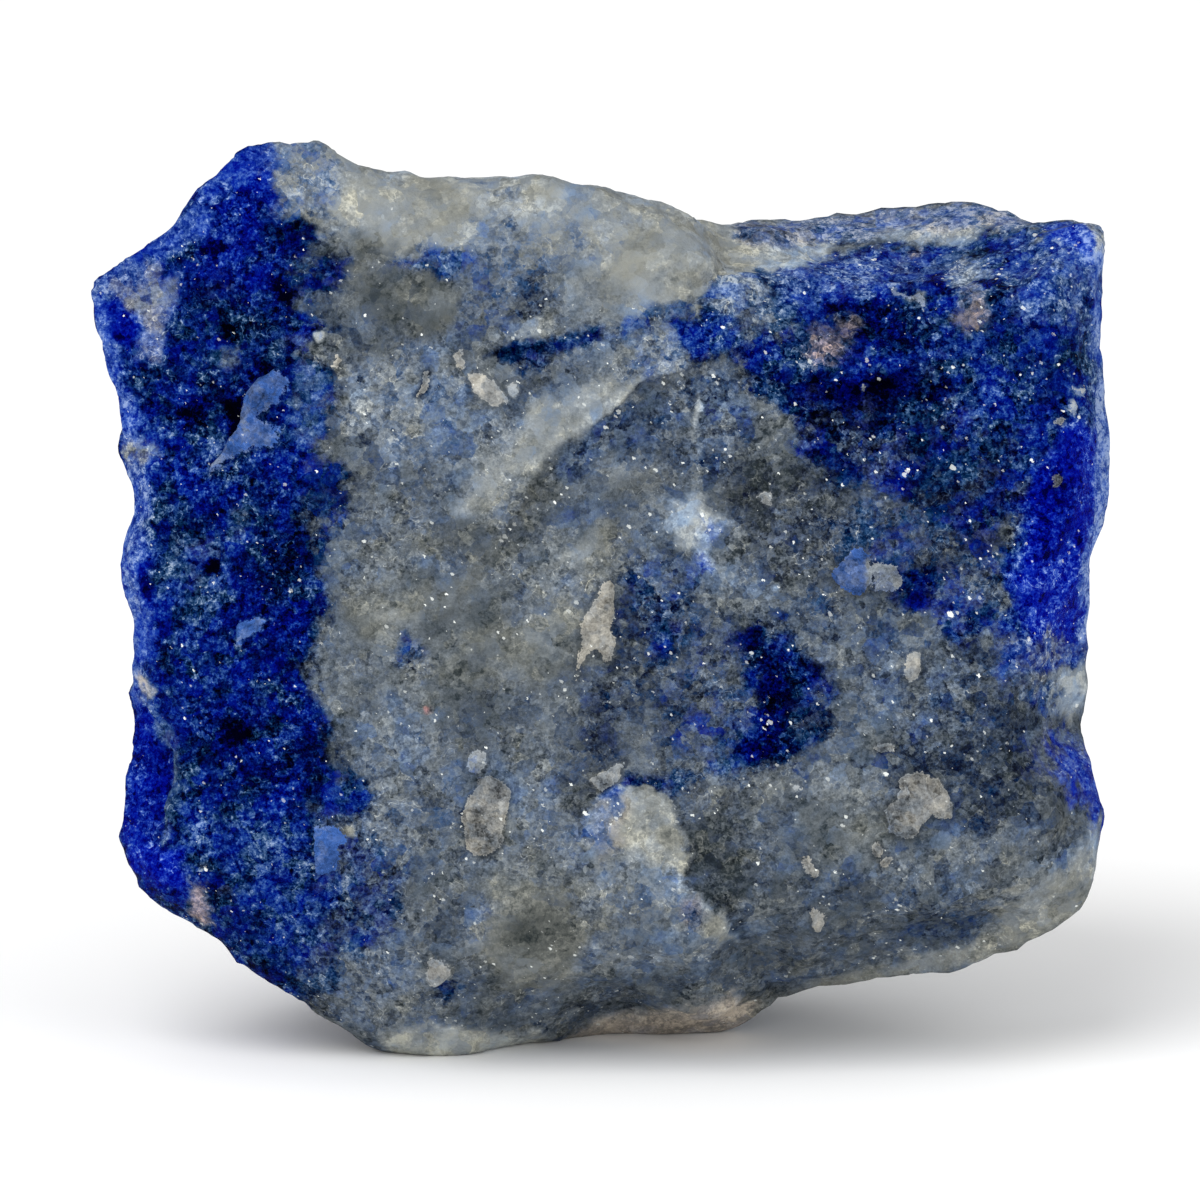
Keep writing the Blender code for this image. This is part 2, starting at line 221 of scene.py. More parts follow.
# Marks lie on the broad face only, and a later one covers those before it.
MARKS = {
    "peak strip": mark([(80, 285), (150, 225), (185, 205), (230, 150), (268, 140), (271, 165), (245, 180),
        (200, 235), (150, 262), (95, 305)], 0.6, tone=0.2, frost=0.8, glint=0.2, vivid=0.35),
    # The left rim: lighter, with painted glow, as painted light along the stone's edge.
    "left rim": mark([(88, 290), (108, 300), (122, 360), (140, 420), (150, 470), (146, 540), (150, 600),
        (152, 660), (148, 700), (120, 700), (115, 560), (80, 300)], 0.6, tone=0.49, frost=0.5, vivid=0.4,
        glint=0.2),
    "shoulder lilac": mark([(122, 262), (150, 255), (155, 275), (178, 276), (185, 290), (182, 308),
        (170, 325), (163, 350), (158, 368), (143, 362), (136, 340), (125, 315), (118, 296), (106, 292),
        (112, 278)], 0.5, 0.35, blue=0.78, tone=0.36, pink=0.1, frost=0.2, warm=0.0, vivid=0.25),
    "shoulder white": mark([(136, 296), (142, 286), (152, 290), (160, 284), (172, 282), (181, 290),
        (178, 304), (168, 312), (166, 326), (156, 338), (148, 330), (140, 322), (128, 314), (126, 306)],
        0.3, 0.3, blue=0.42, tone=0.3, pink=0.12, frost=0.0),
    "shoulder blue": mark([(105, 303), (122, 297), (130, 315), (138, 335), (128, 352), (112, 345),
        (105, 325)], 0.3, 0.25, blue=1.0, tone=-0.3, vivid=0.5),
    "band navy top": mark([(270, 190), (285, 215), (302, 235), (298, 260), (292, 275), (300, 300),
        (312, 330), (280, 335), (255, 320), (262, 280), (250, 240), (262, 215)], 0.8, 0.4, tone=-0.52),
    "band navy middle": mark([(205, 470), (250, 455), (310, 470), (305, 520), (318, 570), (322, 640),
        (300, 680), (240, 620), (250, 560), (215, 555), (190, 520)], 1.0, 0.5, tone=-0.35),
    "band navy low": mark([(195, 715), (262, 716), (320, 690), (322, 730), (330, 790), (300, 820),
        (250, 800), (205, 760)], 1.0, 0.5, tone=-0.35),
    "band light lower": mark([(170, 800), (280, 800), (330, 880), (345, 930), (310, 985), (230, 930),
        (180, 870)], 1.2, 0.5, tone=0.02),
    "band slate low": mark([(300, 800), (375, 800), (392, 860), (402, 930), (355, 975), (315, 1005),
        (290, 965), (330, 905), (322, 850)], 1.6, 0.7, blue=0.72, tone=0.0),
    "facet": mark([(137, 700), (150, 715), (165, 745), (176, 765), (174, 785), (160, 830), (150, 845),
        (128, 850), (120, 800), (128, 730)], 0.4, 0.2, tone=-0.2, vivid=0.5, glint=0.25),
    "facet foot": mark([(128, 852), (150, 845), (185, 850), (190, 875), (180, 893), (150, 880),
        (130, 868)], 0.4, 0.3, tone=-0.05, vivid=0.8),
    "facet ridge": mark([(136, 688), (152, 698), (172, 716), (186, 742), (192, 765), (188, 785),
        (180, 805), (172, 830), (164, 846), (156, 843), (164, 818), (172, 800), (177, 784), (176, 764),
        (165, 740), (148, 712)], 0.35, 0.3, blue=0.85, tone=0.36, warm=0.0, frost=0.3),
    "rim cream": mark(oval(150, 683, 13, 26, -30), 0.35, 0.25, blue=0.1, tone=0.78, warm=0.4, pink=0.2),
    "foot pink": mark([(188, 882), (212, 880), (214, 895), (206, 905), (214, 925), (200, 930),
        (183, 912)], 0.4, 0.3, blue=0.45, tone=0.51, pink=0.6, warm=0.5),
    "foot dark": mark([(200, 862), (230, 858), (236, 885), (240, 910), (222, 915), (208, 895),
        (212, 880)], 0.5, 0.4, tone=-0.38, blue=0.8, glint=0.7),
    "band edge blue": mark([(300, 362), (325, 372), (330, 430), (318, 447), (295, 440), (292, 400)], 0.7,
        0.3, blue=0.88, tone=0.35, frost=0.6, glint=0.2),
    "band edge grey": mark([(318, 448), (350, 480), (360, 520), (330, 530), (312, 520)], 0.9, 0.5,
        blue=0.8, tone=-0.08),
    "slate by the band": mark([(300, 262), (345, 255), (352, 285), (335, 300), (305, 290)], 0.7, 0.4,
        blue=0.8, tone=-0.24),
    "top left blue": mark([(268, 142), (320, 150), (350, 178), (338, 215), (300, 225), (275, 205)], 0.9,
        0.5, blue=0.62, tone=0.48, frost=0.8),
    "top cream left": mark([(345, 175), (440, 185), (470, 215), (440, 245), (365, 245), (345, 215)], 0.9,
        0.5, blue=0.05, tone=0.45, warm=0.65, frost=0.9),
    "top blue hint": mark(oval(503, 192, 46, 22), 0.7, 0.3, blue=0.38, tone=0.42),
    "top cream right": mark(oval(542, 190, 40, 24), 0.6, 0.3, blue=0.0, warm=0.8, tone=0.44),
    "top cream far": mark([(615, 235), (690, 225), (735, 245), (740, 270), (700, 300), (650, 312),
        (612, 280)], 1.0, 0.5, blue=0.03, tone=0.42, warm=0.65, frost=0.8),
    "top slate": mark([(480, 215), (520, 225), (560, 240), (600, 230), (615, 260), (580, 290), (540, 262),
        (490, 245)], 1.2, 0.5, blue=0.4, tone=0.37),
    "brown grey": mark([(350, 238), (400, 248), (440, 280), (455, 330), (420, 345), (370, 320),
        (345, 285)], 1.0, 0.4, blue=0.08, tone=-0.18, warm=0.75, frost=0.5),
    "olive spot": mark(oval(437, 305, 34, 46), 0.8, 0.4, warm=0.6, blue=0.0, tone=-0.05),
    "top blue smudge": mark([(402, 262), (425, 250), (470, 248), (478, 262), (455, 275), (415, 275)], 0.9,
        0.3, blue=0.85, tone=0.12, frost=0.7),
    "upper slate": mark([(470, 262), (520, 250), (555, 262), (560, 300), (545, 325), (510, 345),
        (470, 350), (455, 315), (462, 290)], 1.2, 0.5, blue=0.45, tone=0.17, frost=0.4),
    "upper slate heart": mark(oval(535, 300, 40, 50), 0.9, 0.4, blue=0.4, tone=-0.25),
    "under the top": mark([(565, 268), (610, 285), (640, 305), (625, 325), (570, 335), (555, 300)], 0.9,
        0.4, tone=0.15, blue=0.1),
    "crack": mark([(484, 353), (513, 347), (516, 343), (539, 347), (577, 339), (602, 334), (590, 346),
        (564, 352), (539, 359), (513, 363), (498, 360)], 0.4, 0.15, blue=0.85, tone=-0.17, glint=0.3,
        frost=0.3),
    "crack foot": mark([(508, 361), (545, 356), (560, 360), (540, 370), (512, 370)], 0.4, 0.3, blue=0.75,
        tone=-0.08),
    "crack run": mark([(595, 334), (640, 318), (690, 310), (700, 325), (660, 334), (620, 342)], 0.6, 0.3,
        blue=0.6, tone=0.27),
    "crack patch": mark([(666, 332), (676, 325), (692, 332), (717, 322), (740, 325), (728, 347),
        (704, 358), (689, 365), (684, 350)], 0.4, 0.3, blue=1.0, tone=-0.02),
    "crack bits": mark([(513, 318), (522, 322), (534, 326), (546, 321), (555, 324), (552, 334),
        (548, 343), (530, 346), (514, 344), (517, 332)], 0.25, 0.4, blue=0.2, tone=0.25, frost=0.0,
        glint=1.0),
    "crack light": mark([(700, 292), (755, 275), (770, 300), (745, 325), (715, 315)], 0.7, 0.4, blue=0.75,
        tone=0.62),
    "raised blue": mark([(630, 340), (674, 335), (684, 352), (687, 368), (666, 375), (636, 383),
        (612, 378), (618, 365), (632, 355)], 0.4, 0.3, blue=0.55, tone=0.38, frost=0.3),
    "pale ridge": mark([(636, 378), (615, 398), (602, 419), (579, 439), (559, 452), (539, 467),
        (523, 477), (500, 470), (505, 440), (523, 416), (549, 404), (580, 392), (610, 376)], 0.8, 0.35,
        blue=0.1, tone=0.38, warm=0.4, frost=0.5),
    "ridge run": mark([(523, 470), (505, 500), (485, 525), (455, 530), (450, 500), (470, 465),
        (505, 445)], 1.2, 0.4, blue=0.15, tone=0.42, warm=0.4),
    "grey blue left": mark([(335, 360), (440, 350), (470, 390), (500, 425), (470, 460), (400, 470),
        (350, 440)], 1.2, 0.6, blue=0.35, tone=0.24, warm=0.1),
    # The recess right of the ridge step: bluer, and darker as painted shade.
    "recess": mark([(615, 404), (640, 390), (690, 374), (735, 368), (755, 410), (765, 460), (735, 480),
        (690, 470), (640, 470), (590, 468), (548, 478), (560, 454), (592, 431), (607, 421)], 0.5, 0.35,
        blue=0.35, tone=-0.07, warm=0.0, glint=0.5, frost=0.0),
    "recess light": mark(oval(612, 478, 90, 40, -20), 1.2, 0.5, blue=0.2, tone=0.17, glint=0.5),
    # A pale strip on the ridge step's high side, lighter as painted highlight.
    "ridge edge": mark([(538, 482), (547, 461), (560, 449), (570, 442), (589, 430), (602, 421),
        (614, 409), (627, 394), (640, 382), (636, 374), (620, 386), (606, 400), (592, 413), (578, 424),
        (556, 436), (540, 450), (528, 474)], 0.15, 0.12, blue=0.1, tone=0.52, warm=0.5),
    "ridge shade": mark([(493, 551), (505, 535), (519, 517), (530, 501), (538, 484), (547, 463),
        (560, 451), (570, 444), (589, 432), (602, 423), (614, 411), (627, 396), (640, 384), (648, 379),
        (671, 375), (690, 369), (674, 380), (652, 384), (642, 392), (630, 404), (618, 417), (604, 429),
        (590, 438), (572, 449), (562, 456), (552, 468), (543, 486), (534, 504), (522, 520), (507, 540),
        (496, 554)], 0.15, 0.12, tone=0.05, glint=1.0),
    "below the step": mark([(548, 478), (560, 490), (540, 530), (500, 560), (440, 560), (400, 545),
        (450, 530), (498, 527), (520, 508), (532, 488)], 0.7, 0.4, blue=0.1, tone=-0.15, warm=0.6,
        glint=0.5),
    "white burst": mark([(665, 531), (669, 516), (673, 509), (671, 499), (682, 500), (687, 494),
        (696, 489), (709, 492), (704, 503), (703, 512), (719, 516), (722, 529), (715, 537), (709, 546),
        (712, 560), (700, 556), (698, 545), (690, 537), (682, 546), (677, 535)], 0.15, 0.35, blue=0.12,
        tone=0.6, warm=0.1, frost=0.0, glint=0.6),
    "burst lilac": mark([(703, 516), (711, 520), (721, 524), (721, 534), (710, 547), (699, 540),
        (697, 528)], 0.25, 0.2, blue=0.5, tone=0.7, vivid=0.3),
    "burst blue": mark([(695, 547), (704, 543), (713, 554), (713, 568), (704, 572), (693, 565)], 0.3, 0.2,
        blue=0.8, tone=0.75, vivid=0.3),
    "streak above the burst": mark([(700, 394), (704, 396), (697, 420), (694, 432), (701, 458),
        (697, 459), (690, 434), (693, 415)], 0.2, 0.15, blue=0.2, tone=0.5),
    "middle blue": mark([(628, 575), (655, 562), (690, 558), (694, 600), (688, 640), (665, 664),
        (635, 655), (622, 620)], 1.0, 0.4, blue=0.82, tone=-0.1),
    "slate right of the flake": mark([(612, 585), (650, 640), (640, 700), (615, 760), (580, 765),
        (575, 720), (590, 680), (612, 660)], 1.2, 0.4, blue=0.4, tone=-0.18),
    "navy halo": mark([(715, 630), (770, 625), (832, 650), (837, 690), (818, 740), (802, 767), (730, 775),
        (712, 750), (742, 715), (735, 680)], 1.4, 0.6, blue=0.75, tone=-0.13),
    "navy": mark([(728, 628), (745, 632), (768, 643), (797, 655), (823, 666), (822, 680), (804, 690),
        (790, 700), (779, 712), (773, 724), (783, 735), (802, 748), (790, 760), (765, 766), (735, 763),
        (722, 760), (738, 745), (752, 728), (756, 712), (760, 700), (752, 688), (742, 668), (732, 645)],
        0.35, 0.35, blue=1.0, tone=-0.52, glint=0.6),
    "navy heart": mark([(765, 690), (790, 685), (795, 705), (783, 730), (765, 735), (760, 715)], 0.6, 0.3,
        tone=-0.85),
    "thin blue line": mark([(625, 775), (640, 777), (680, 771), (730, 762), (740, 770), (700, 781),
        (650, 792), (630, 790)], 0.6, 0.35, blue=0.8, tone=-0.07),
    "light between": mark([(690, 600), (730, 620), (752, 665), (755, 700), (735, 740), (700, 750),
        (660, 740), (650, 690), (690, 650)], 1.4, 0.5, blue=0.5, tone=-0.03),
    "smudge left of the navy": mark(oval(720, 697, 30, 28), 0.9, 0.4, blue=0.8, tone=0.15),
    "olive": mark([(735, 470), (790, 455), (845, 475), (850, 530), (835, 565), (790, 585), (745, 570),
        (725, 520)], 1.2, 0.5, blue=0.25, tone=-0.28, warm=0.5, glint=0.5, frost=0.0),
    "right shadow": mark([(755, 375), (800, 372), (860, 375), (915, 372), (955, 380), (965, 405),
        (920, 415), (880, 425), (850, 455), (820, 450), (805, 430), (775, 412)], 0.8, 0.45, blue=0.9,
        tone=-0.5, glint=0.5),
    "right shadow heart": mark([(846, 388), (870, 380), (899, 380), (900, 394), (880, 398), (850, 397)],
        0.5, 0.3, tone=-1.0),
    "right shadow second heart": mark([(918, 392), (935, 384), (950, 388), (948, 402), (925, 404)], 0.5,
        0.3, tone=-0.9),
    "dusk": mark([(790, 405), (850, 415), (940, 412), (1000, 425), (1018, 460), (1015, 510), (960, 525),
        (880, 500), (815, 465)], 1.6, 0.7, blue=0.72, tone=-0.36, warm=0.0, glint=0.6),
    "dark right of the centre": mark([(850, 440), (900, 440), (960, 460), (1010, 500), (1000, 560),
        (985, 640), (950, 660), (930, 600), (950, 540), (915, 490), (860, 480)], 1.2, 0.6, blue=0.76,
        tone=-0.24, glint=0.6),
    "navy under the top": mark([(822, 308), (850, 300), (888, 298), (905, 312), (925, 328), (918, 350),
        (895, 362), (865, 345), (850, 325), (825, 325)], 0.4, 0.35, blue=1.0, tone=-0.55, glint=0.3),
    "navy small": mark([(985, 338), (1020, 325), (1050, 335), (1045, 352), (1000, 345), (965, 352)], 0.6,
        0.4, tone=-0.24),
    "pink left": mark([(808, 322), (830, 325), (850, 322), (862, 332), (858, 345), (845, 352), (828, 372),
        (812, 368), (798, 352), (800, 335)], 0.5, 0.35, blue=0.55, tone=-0.02, pink=0.6, warm=0.4,
        glint=0.5),
    "pink right": mark([(958, 304), (966, 296), (975, 292), (983, 300), (988, 314), (980, 327),
        (966, 331), (954, 322)], 0.7, 0.4, blue=0.35, tone=0.12, pink=0.5, warm=0.8),
    # Painted glow on the right side.
    "right glow": mark([(1062, 420), (1110, 430), (1125, 480), (1100, 560), (1095, 645), (1020, 640),
        (1018, 590), (1030, 550), (1040, 500), (1045, 460)], 0.9, 0.4, vivid=0.8, tone=-0.16, glint=0.3),
    "right deep": mark([(1030, 470), (1060, 455), (1080, 500), (1070, 545), (1040, 560), (1025, 520)],
        0.9, 0.4, tone=-0.6, vivid=0.6),
    # The right rim: lighter, with painted glow, as painted light along the stone's edge.
    "right rim": mark([(1098, 235), (1080, 260), (1092, 320), (1094, 370), (1092, 430), (1098, 470),
        (1085, 530), (1078, 580), (1078, 640), (1130, 640), (1130, 235)], 0.7, 0.3, tone=0.82, vivid=0.3,
        frost=0.6, glint=0.2),
    "top right mottle": mark([(770, 262), (830, 250), (900, 255), (960, 262), (950, 290), (890, 290),
        (830, 305), (780, 310)], 1.0, 0.5, blue=0.9, tone=0.29, vivid=0.2),
    "top right light": mark([(940, 255), (985, 250), (1005, 290), (960, 300), (940, 285)], 0.8, 0.5,
        blue=0.65, tone=0.42),
    "top right corner": mark([(1010, 235), (1095, 232), (1098, 330), (1030, 330), (1000, 290)], 1.2, 0.5,
        blue=0.9, tone=0.26, vivid=0.1),
    "right grey slope": mark([(735, 300), (770, 300), (790, 330), (800, 365), (760, 380), (735, 350)],
        1.0, 0.5, blue=0.65, tone=0.22),
    "right middle": mark([(855, 600), (900, 620), (915, 660), (900, 700), (860, 700), (840, 650)], 1.2,
        0.5, blue=0.35, tone=0.0),
    "middle grey blue": mark([(790, 590), (850, 595), (870, 640), (850, 680), (810, 660)], 1.2, 0.5,
        blue=0.4, tone=0.05),
    "right slate": mark([(930, 640), (1000, 645), (1060, 680), (1050, 740), (1040, 820), (960, 830),
        (880, 760), (900, 710)], 1.6, 0.5, blue=0.35, tone=-0.22, warm=0.15),
    "right cream rim": mark([(1052, 672), (1085, 662), (1085, 700), (1075, 720), (1055, 712),
        (1045, 690)], 0.6, 0.3, blue=0.2, tone=0.73, warm=0.1, frost=0.8),
    "blue rim under the glow": mark([(1000, 640), (1090, 636), (1090, 662), (1040, 672), (1000, 665)],
        0.8, 0.3, blue=0.7, tone=0.2, vivid=0.3),
    "line on the rim": mark([(1020, 670), (1050, 663), (1080, 655), (1080, 661), (1050, 669),
        (1022, 676)], 0.25, 0.12, blue=1.0, tone=0.03),
    "lower right cream": mark([(1000, 905), (1030, 880), (1062, 868), (1095, 850), (1090, 900),
        (1050, 940), (1000, 950)], 0.9, 0.4, blue=0.08, tone=0.36, warm=0.75, frost=0.7),
    "lower right rim": mark(oval(1092, 852, 20, 60), 0.6, 0.3, blue=0.3, tone=0.68, frost=0.7),
    "lower right blue dusk": mark([(900, 880), (960, 890), (990, 920), (950, 955), (900, 940),
        (870, 900)], 1.2, 0.5, blue=0.35, tone=0.0),
    "lower slate": mark([(725, 800), (800, 790), (870, 800), (900, 870), (880, 930), (800, 960),
        (750, 940), (720, 880)], 2.0, 0.6, blue=0.22, tone=0.0, warm=0.25),
    "green grey": mark([(800, 795), (870, 790), (885, 830), (870, 860), (830, 850), (800, 830)], 1.2, 0.4,
        blue=0.05, tone=-0.12, warm=0.6),
    "bottom brown": mark([(560, 1045), (600, 1018), (660, 1010), (730, 990), (760, 1000), (740, 1040),
        (640, 1050)], 0.8, 0.3, blue=0.05, tone=0.72, warm=1.0, pink=0.2),
    "bottom shade": mark([(640, 1030), (700, 1020), (760, 1005), (830, 978), (900, 965), (990, 940),
        (1000, 960), (850, 1000), (700, 1060)], 0.5, 0.3, tone=0.42, warm=0.8, blue=0.0),
    "bottom cream": mark([(380, 1040), (430, 1020), (480, 1035), (540, 1030), (550, 1060), (400, 1070)],
        0.7, 0.3, blue=0.05, tone=0.77, warm=0.7, frost=0.6),
    "lower left grey": mark([(340, 960), (400, 940), (450, 1000), (430, 1030), (370, 1020), (330, 990)],
        1.2, 0.5, blue=0.35, tone=0.12),
    "foot brown": mark([(490, 880), (560, 890), (590, 930), (570, 980), (500, 990), (470, 940)], 1.4, 0.5,
        blue=0.0, tone=0.15, warm=0.9),
    "foot brown heart": mark([(520, 895), (552, 892), (580, 912), (584, 945), (565, 960), (535, 950),
        (515, 925)], 0.9, 0.4, tone=0.0, warm=1.4, blue=0.0),
    "foot blue one": mark(oval(541, 993, 24, 24), 0.7, 0.3, blue=0.35, tone=0.3),
    "foot blue two": mark(oval(478, 915, 30, 34), 0.8, 0.3, blue=0.4, tone=0.3),
    "foot blue three": mark(oval(446, 992, 26, 28), 0.6, 0.3, blue=0.6, tone=-0.15),
    "middle light": mark([(380, 745), (430, 735), (465, 770), (460, 830), (410, 850), (365, 820)], 1.4,
        0.5, blue=0.35, tone=0.1, warm=0.1),
    "middle pale": mark([(340, 600), (390, 570), (430, 590), (480, 570), (500, 600), (440, 640),
        (380, 650)], 1.6, 0.5, blue=0.05, tone=0.12, warm=0.7),
    "middle dark": mark([(430, 600), (500, 600), (530, 640), (480, 700), (420, 710), (400, 670)], 1.6,
        0.5, blue=0.05, tone=-0.08, warm=0.6),
    "middle blue smudge": mark(oval(412, 655, 34, 40), 0.8, 0.3, blue=0.5, tone=-0.05),
    "tan run": mark([(500, 640), (560, 600), (585, 620), (575, 660), (530, 690), (500, 680)], 1.4, 0.5,
        blue=0.05, tone=0.04, warm=0.7),
    "smudge above the plate": mark(oval(565, 765, 50, 50), 1.2, 0.4, blue=0.4, tone=0.15),
    "shade beside the plate": mark([(690, 800), (740, 800), (760, 870), (740, 915), (700, 890),
        (690, 850)], 1.0, 0.4, blue=0.15, tone=-0.33, warm=0.5),
    "shade under the tip": mark([(560, 803), (562, 775), (592, 780), (600, 791), (584, 815), (571, 813)],
        0.5, 0.3, blue=0.15, tone=-0.3, warm=0.5),
    "plate left": mark([(560, 815), (584, 815), (610, 830), (625, 870), (640, 900), (650, 940),
        (620, 960), (590, 950), (560, 880)], 2.0, 0.5, blue=0.3, tone=0.08),
    "plate": mark([(600, 791), (611, 784), (621, 781), (630, 788), (644, 786), (656, 791), (668, 799),
        (676, 815), (678, 827), (682, 840), (687, 852), (691, 865), (686, 874), (684, 883), (690, 893),
        (697, 893), (704, 898), (714, 903), (725, 912), (726, 924), (735, 937), (700, 948), (660, 955),
        (625, 940), (600, 900), (590, 860), (584, 835), (584, 815)], 0.12, 0.22, blue=0.25, tone=0.36,
        warm=0.1, frost=0.3),
    "plate foot": mark([(590, 880), (620, 870), (650, 895), (680, 925), (715, 938), (690, 960),
        (640, 965), (600, 940)], 1.2, 0.5, blue=0.25, tone=0.18),
    "plate lilac": mark([(600, 795), (630, 792), (634, 805), (622, 825), (618, 848), (600, 862),
        (586, 840), (588, 816)], 0.5, 0.3, blue=0.5, tone=0.35, warm=0.0, pink=0.12, frost=0.7),
    "plate blue": mark([(600, 792), (610, 783), (621, 782), (629, 790), (618, 797), (604, 799)], 0.3, 0.2,
        blue=0.95, tone=0.57, vivid=0.1, frost=0.4),
    "plate crust": mark([(625, 798), (635, 786), (646, 785), (654, 789), (665, 794), (669, 803),
        (674, 811), (675, 828), (679, 836), (680, 849), (687, 853), (691, 866), (688, 878), (680, 874),
        (671, 870), (665, 876), (658, 870), (650, 868), (642, 857), (631, 853), (625, 847), (614, 843),
        (609, 832), (608, 824), (617, 819), (623, 809)], 0.12, 0.22, blue=0.0, tone=0.45, warm=0.7,
        frost=0.0),
    "crust foot": mark([(612, 856), (640, 862), (664, 872), (676, 880), (676, 896), (645, 896),
        (612, 878)], 0.6, 0.4, blue=0.3, tone=0.22, warm=0.1),
    "plate brown": mark([(660, 826), (670, 824), (674, 836), (672, 850), (662, 852), (657, 842)], 0.35,
        0.3, blue=0.0, tone=0.28, warm=1.5, frost=0.0),
    "plate purple": mark([(688, 899), (700, 899), (703, 908), (700, 918), (688, 921), (684, 910)], 0.4,
        0.2, blue=0.5, tone=0.35, pink=0.3),
    "plate tan": mark([(708, 905), (722, 912), (724, 924), (730, 935), (715, 936), (704, 925)], 0.3, 0.2,
        blue=0.0, tone=0.42, warm=0.8),
    "plate shade": mark([(692, 866), (688, 875), (686, 884), (692, 892), (698, 892), (705, 897),
        (715, 902), (727, 911), (728, 923), (738, 938), (746, 938), (740, 915), (720, 895), (704, 880),
        (700, 862), (694, 846), (690, 834), (685, 815), (676, 799), (668, 790), (668, 797), (677, 814),
        (680, 827), (684, 840), (689, 852)], 0.15, 0.22, tone=-0.37, blue=0.15),
    "tan by the burst": mark([(583, 523), (600, 520), (613, 530), (611, 548), (600, 566), (572, 572),
        (560, 555), (578, 540)], 0.7, 0.4, blue=0.05, tone=0.35, warm=0.75),
    "slate under the burst": mark([(625, 560), (668, 545), (690, 560), (700, 585), (680, 600),
        (640, 590)], 0.8, 0.4, blue=0.45, tone=0.02),
    "back ridge": mark([(735, 224), (800, 221), (840, 214), (870, 213), (930, 206), (965, 199),
        (1000, 206), (1025, 212), (1034, 223), (1010, 231), (975, 226), (935, 229), (905, 226),
        (880, 232), (868, 238), (830, 240), (790, 248), (750, 245), (735, 236)], 0.3, 0.2, blue=0.8,
        tone=0.6, pink=0.15, frost=0.4, glint=0.2),
    "back ridge dark": mark([(738, 232), (760, 226), (800, 228), (820, 232), (800, 243), (755, 245)], 0.5,
        0.3, blue=0.6, tone=0.2),
    "edge band": mark([(880, 233), (897, 222), (925, 226), (950, 227), (972, 224), (982, 232), (980, 243),
        (950, 245), (915, 241)], 0.35, 0.25, blue=0.25, tone=0.5, frost=0.5, glint=0.2),
    "shelf band": mark([(738, 248), (765, 246), (800, 247), (835, 243), (828, 256), (805, 262),
        (790, 275), (770, 276), (745, 262)], 0.4, 0.3, blue=0.2, tone=0.7, frost=0.5, glint=0.2),
    "light strip": mark([(888, 288), (905, 292), (925, 290), (924, 302), (908, 307), (898, 300)], 0.2,
        0.15, blue=0.35, tone=0.67),
    "top right navy": mark([(930, 276), (940, 270), (953, 288), (952, 300), (940, 298), (931, 288)], 0.4,
        0.3, blue=1.0, tone=-0.6),
    "top right pink": mark([(904, 256), (915, 247), (926, 244), (924, 252), (912, 262)], 0.25, 0.2,
        blue=0.6, tone=0.1, pink=0.4, warm=0.6),
    "corner blue": mark([(1048, 226), (1070, 222), (1094, 226), (1098, 250), (1088, 263), (1070, 252),
        (1052, 240)], 0.6, 0.3, blue=1.0, tone=0.35, vivid=0.6),
    "corner rim": mark([(1080, 222), (1100, 224), (1107, 236), (1104, 252), (1097, 250), (1096, 232)],
        0.3, 0.2, blue=0.4, tone=0.75, frost=0.5),
    "small navy spots": mark(oval(996, 293, 24, 14), 0.3, 0.2, tone=-0.65, blue=1.0),
    "small navy slit": mark([(978, 282), (1004, 277), (1002, 284), (980, 288)], 0.25, 0.2, tone=-0.65,
        blue=1.0),
    "right spot": mark(oval(1090, 303, 16, 12), 0.3, 0.2, blue=1.0, tone=-0.4),
    "band grey one": mark([(222, 232), (236, 236), (240, 250), (228, 256), (222, 246)], 0.5, 0.4,
        blue=0.95),
    "band grey two": mark(oval(209, 272, 14, 18, 30), 0.5, 0.4, blue=0.95),
    "band grey three": mark([(212, 272), (236, 276), (238, 296), (222, 302), (208, 292)], 0.8, 0.5,
        blue=0.82, tone=-0.05),
    "band grey four": mark([(220, 346), (240, 348), (244, 362), (232, 372), (220, 364)], 0.7, 0.4,
        blue=0.45, tone=0.12),
    "band grey five": mark(oval(248, 518, 24, 26), 0.7, 0.4, blue=0.65, tone=0.02),
    "band slate": mark([(268, 328), (300, 330), (318, 338), (300, 348), (272, 346)], 0.7, 0.4, blue=0.85,
        tone=0.0),
    "band top blue": mark([(243, 150), (268, 148), (274, 190), (272, 215), (258, 200), (246, 175)], 0.9,
        0.4, tone=0.12, vivid=0.5),
    "band pale rim": mark([(128, 446), (153, 446), (156, 458), (140, 464), (128, 458)], 0.7, 0.4,
        blue=0.5, tone=0.3),
    "band blue heart": mark([(236, 538), (262, 530), (300, 545), (300, 585), (262, 592), (240, 575)], 1.2,
        0.5, tone=-0.5),
    "band pale patch": mark(oval(181, 560, 22, 32, -20), 0.5, 0.3, blue=0.8, tone=0.75),
    "band light middle": mark([(164, 527), (200, 530), (250, 522), (262, 535), (235, 560), (232, 590),
        (190, 592), (165, 575)], 1.2, 0.6, blue=0.9, tone=0.06),
    "band spot one": mark([(140, 396), (153, 398), (154, 410), (142, 411)], 0.3, 0.25, tone=-0.4),
    "band spot two": mark(oval(156, 487, 16, 16), 0.4, 0.3, tone=-0.36),
    "band spot three": mark(oval(160, 527, 12, 15), 0.4, 0.3, tone=-0.36),
    "band spot four": mark([(146, 556), (157, 560), (157, 585), (150, 603), (138, 598), (137, 580)], 0.35,
        0.25, tone=-0.62, vivid=0.3),
    "band spot five": mark(oval(217, 569, 17, 15), 0.3, 0.25, tone=-1.1, blue=1.0),
    "tan by the square": mark(oval(352, 829, 10, 14, 20), 0.25, 0.2, blue=0.0, tone=0.33, warm=1.3),
    "white arc": mark([(508, 858), (502, 861), (499, 870), (501, 878), (508, 884), (505, 886), (497, 881),
        (495, 870), (498, 860), (505, 855)], 0.12, 0.1, blue=0.0, tone=0.15),
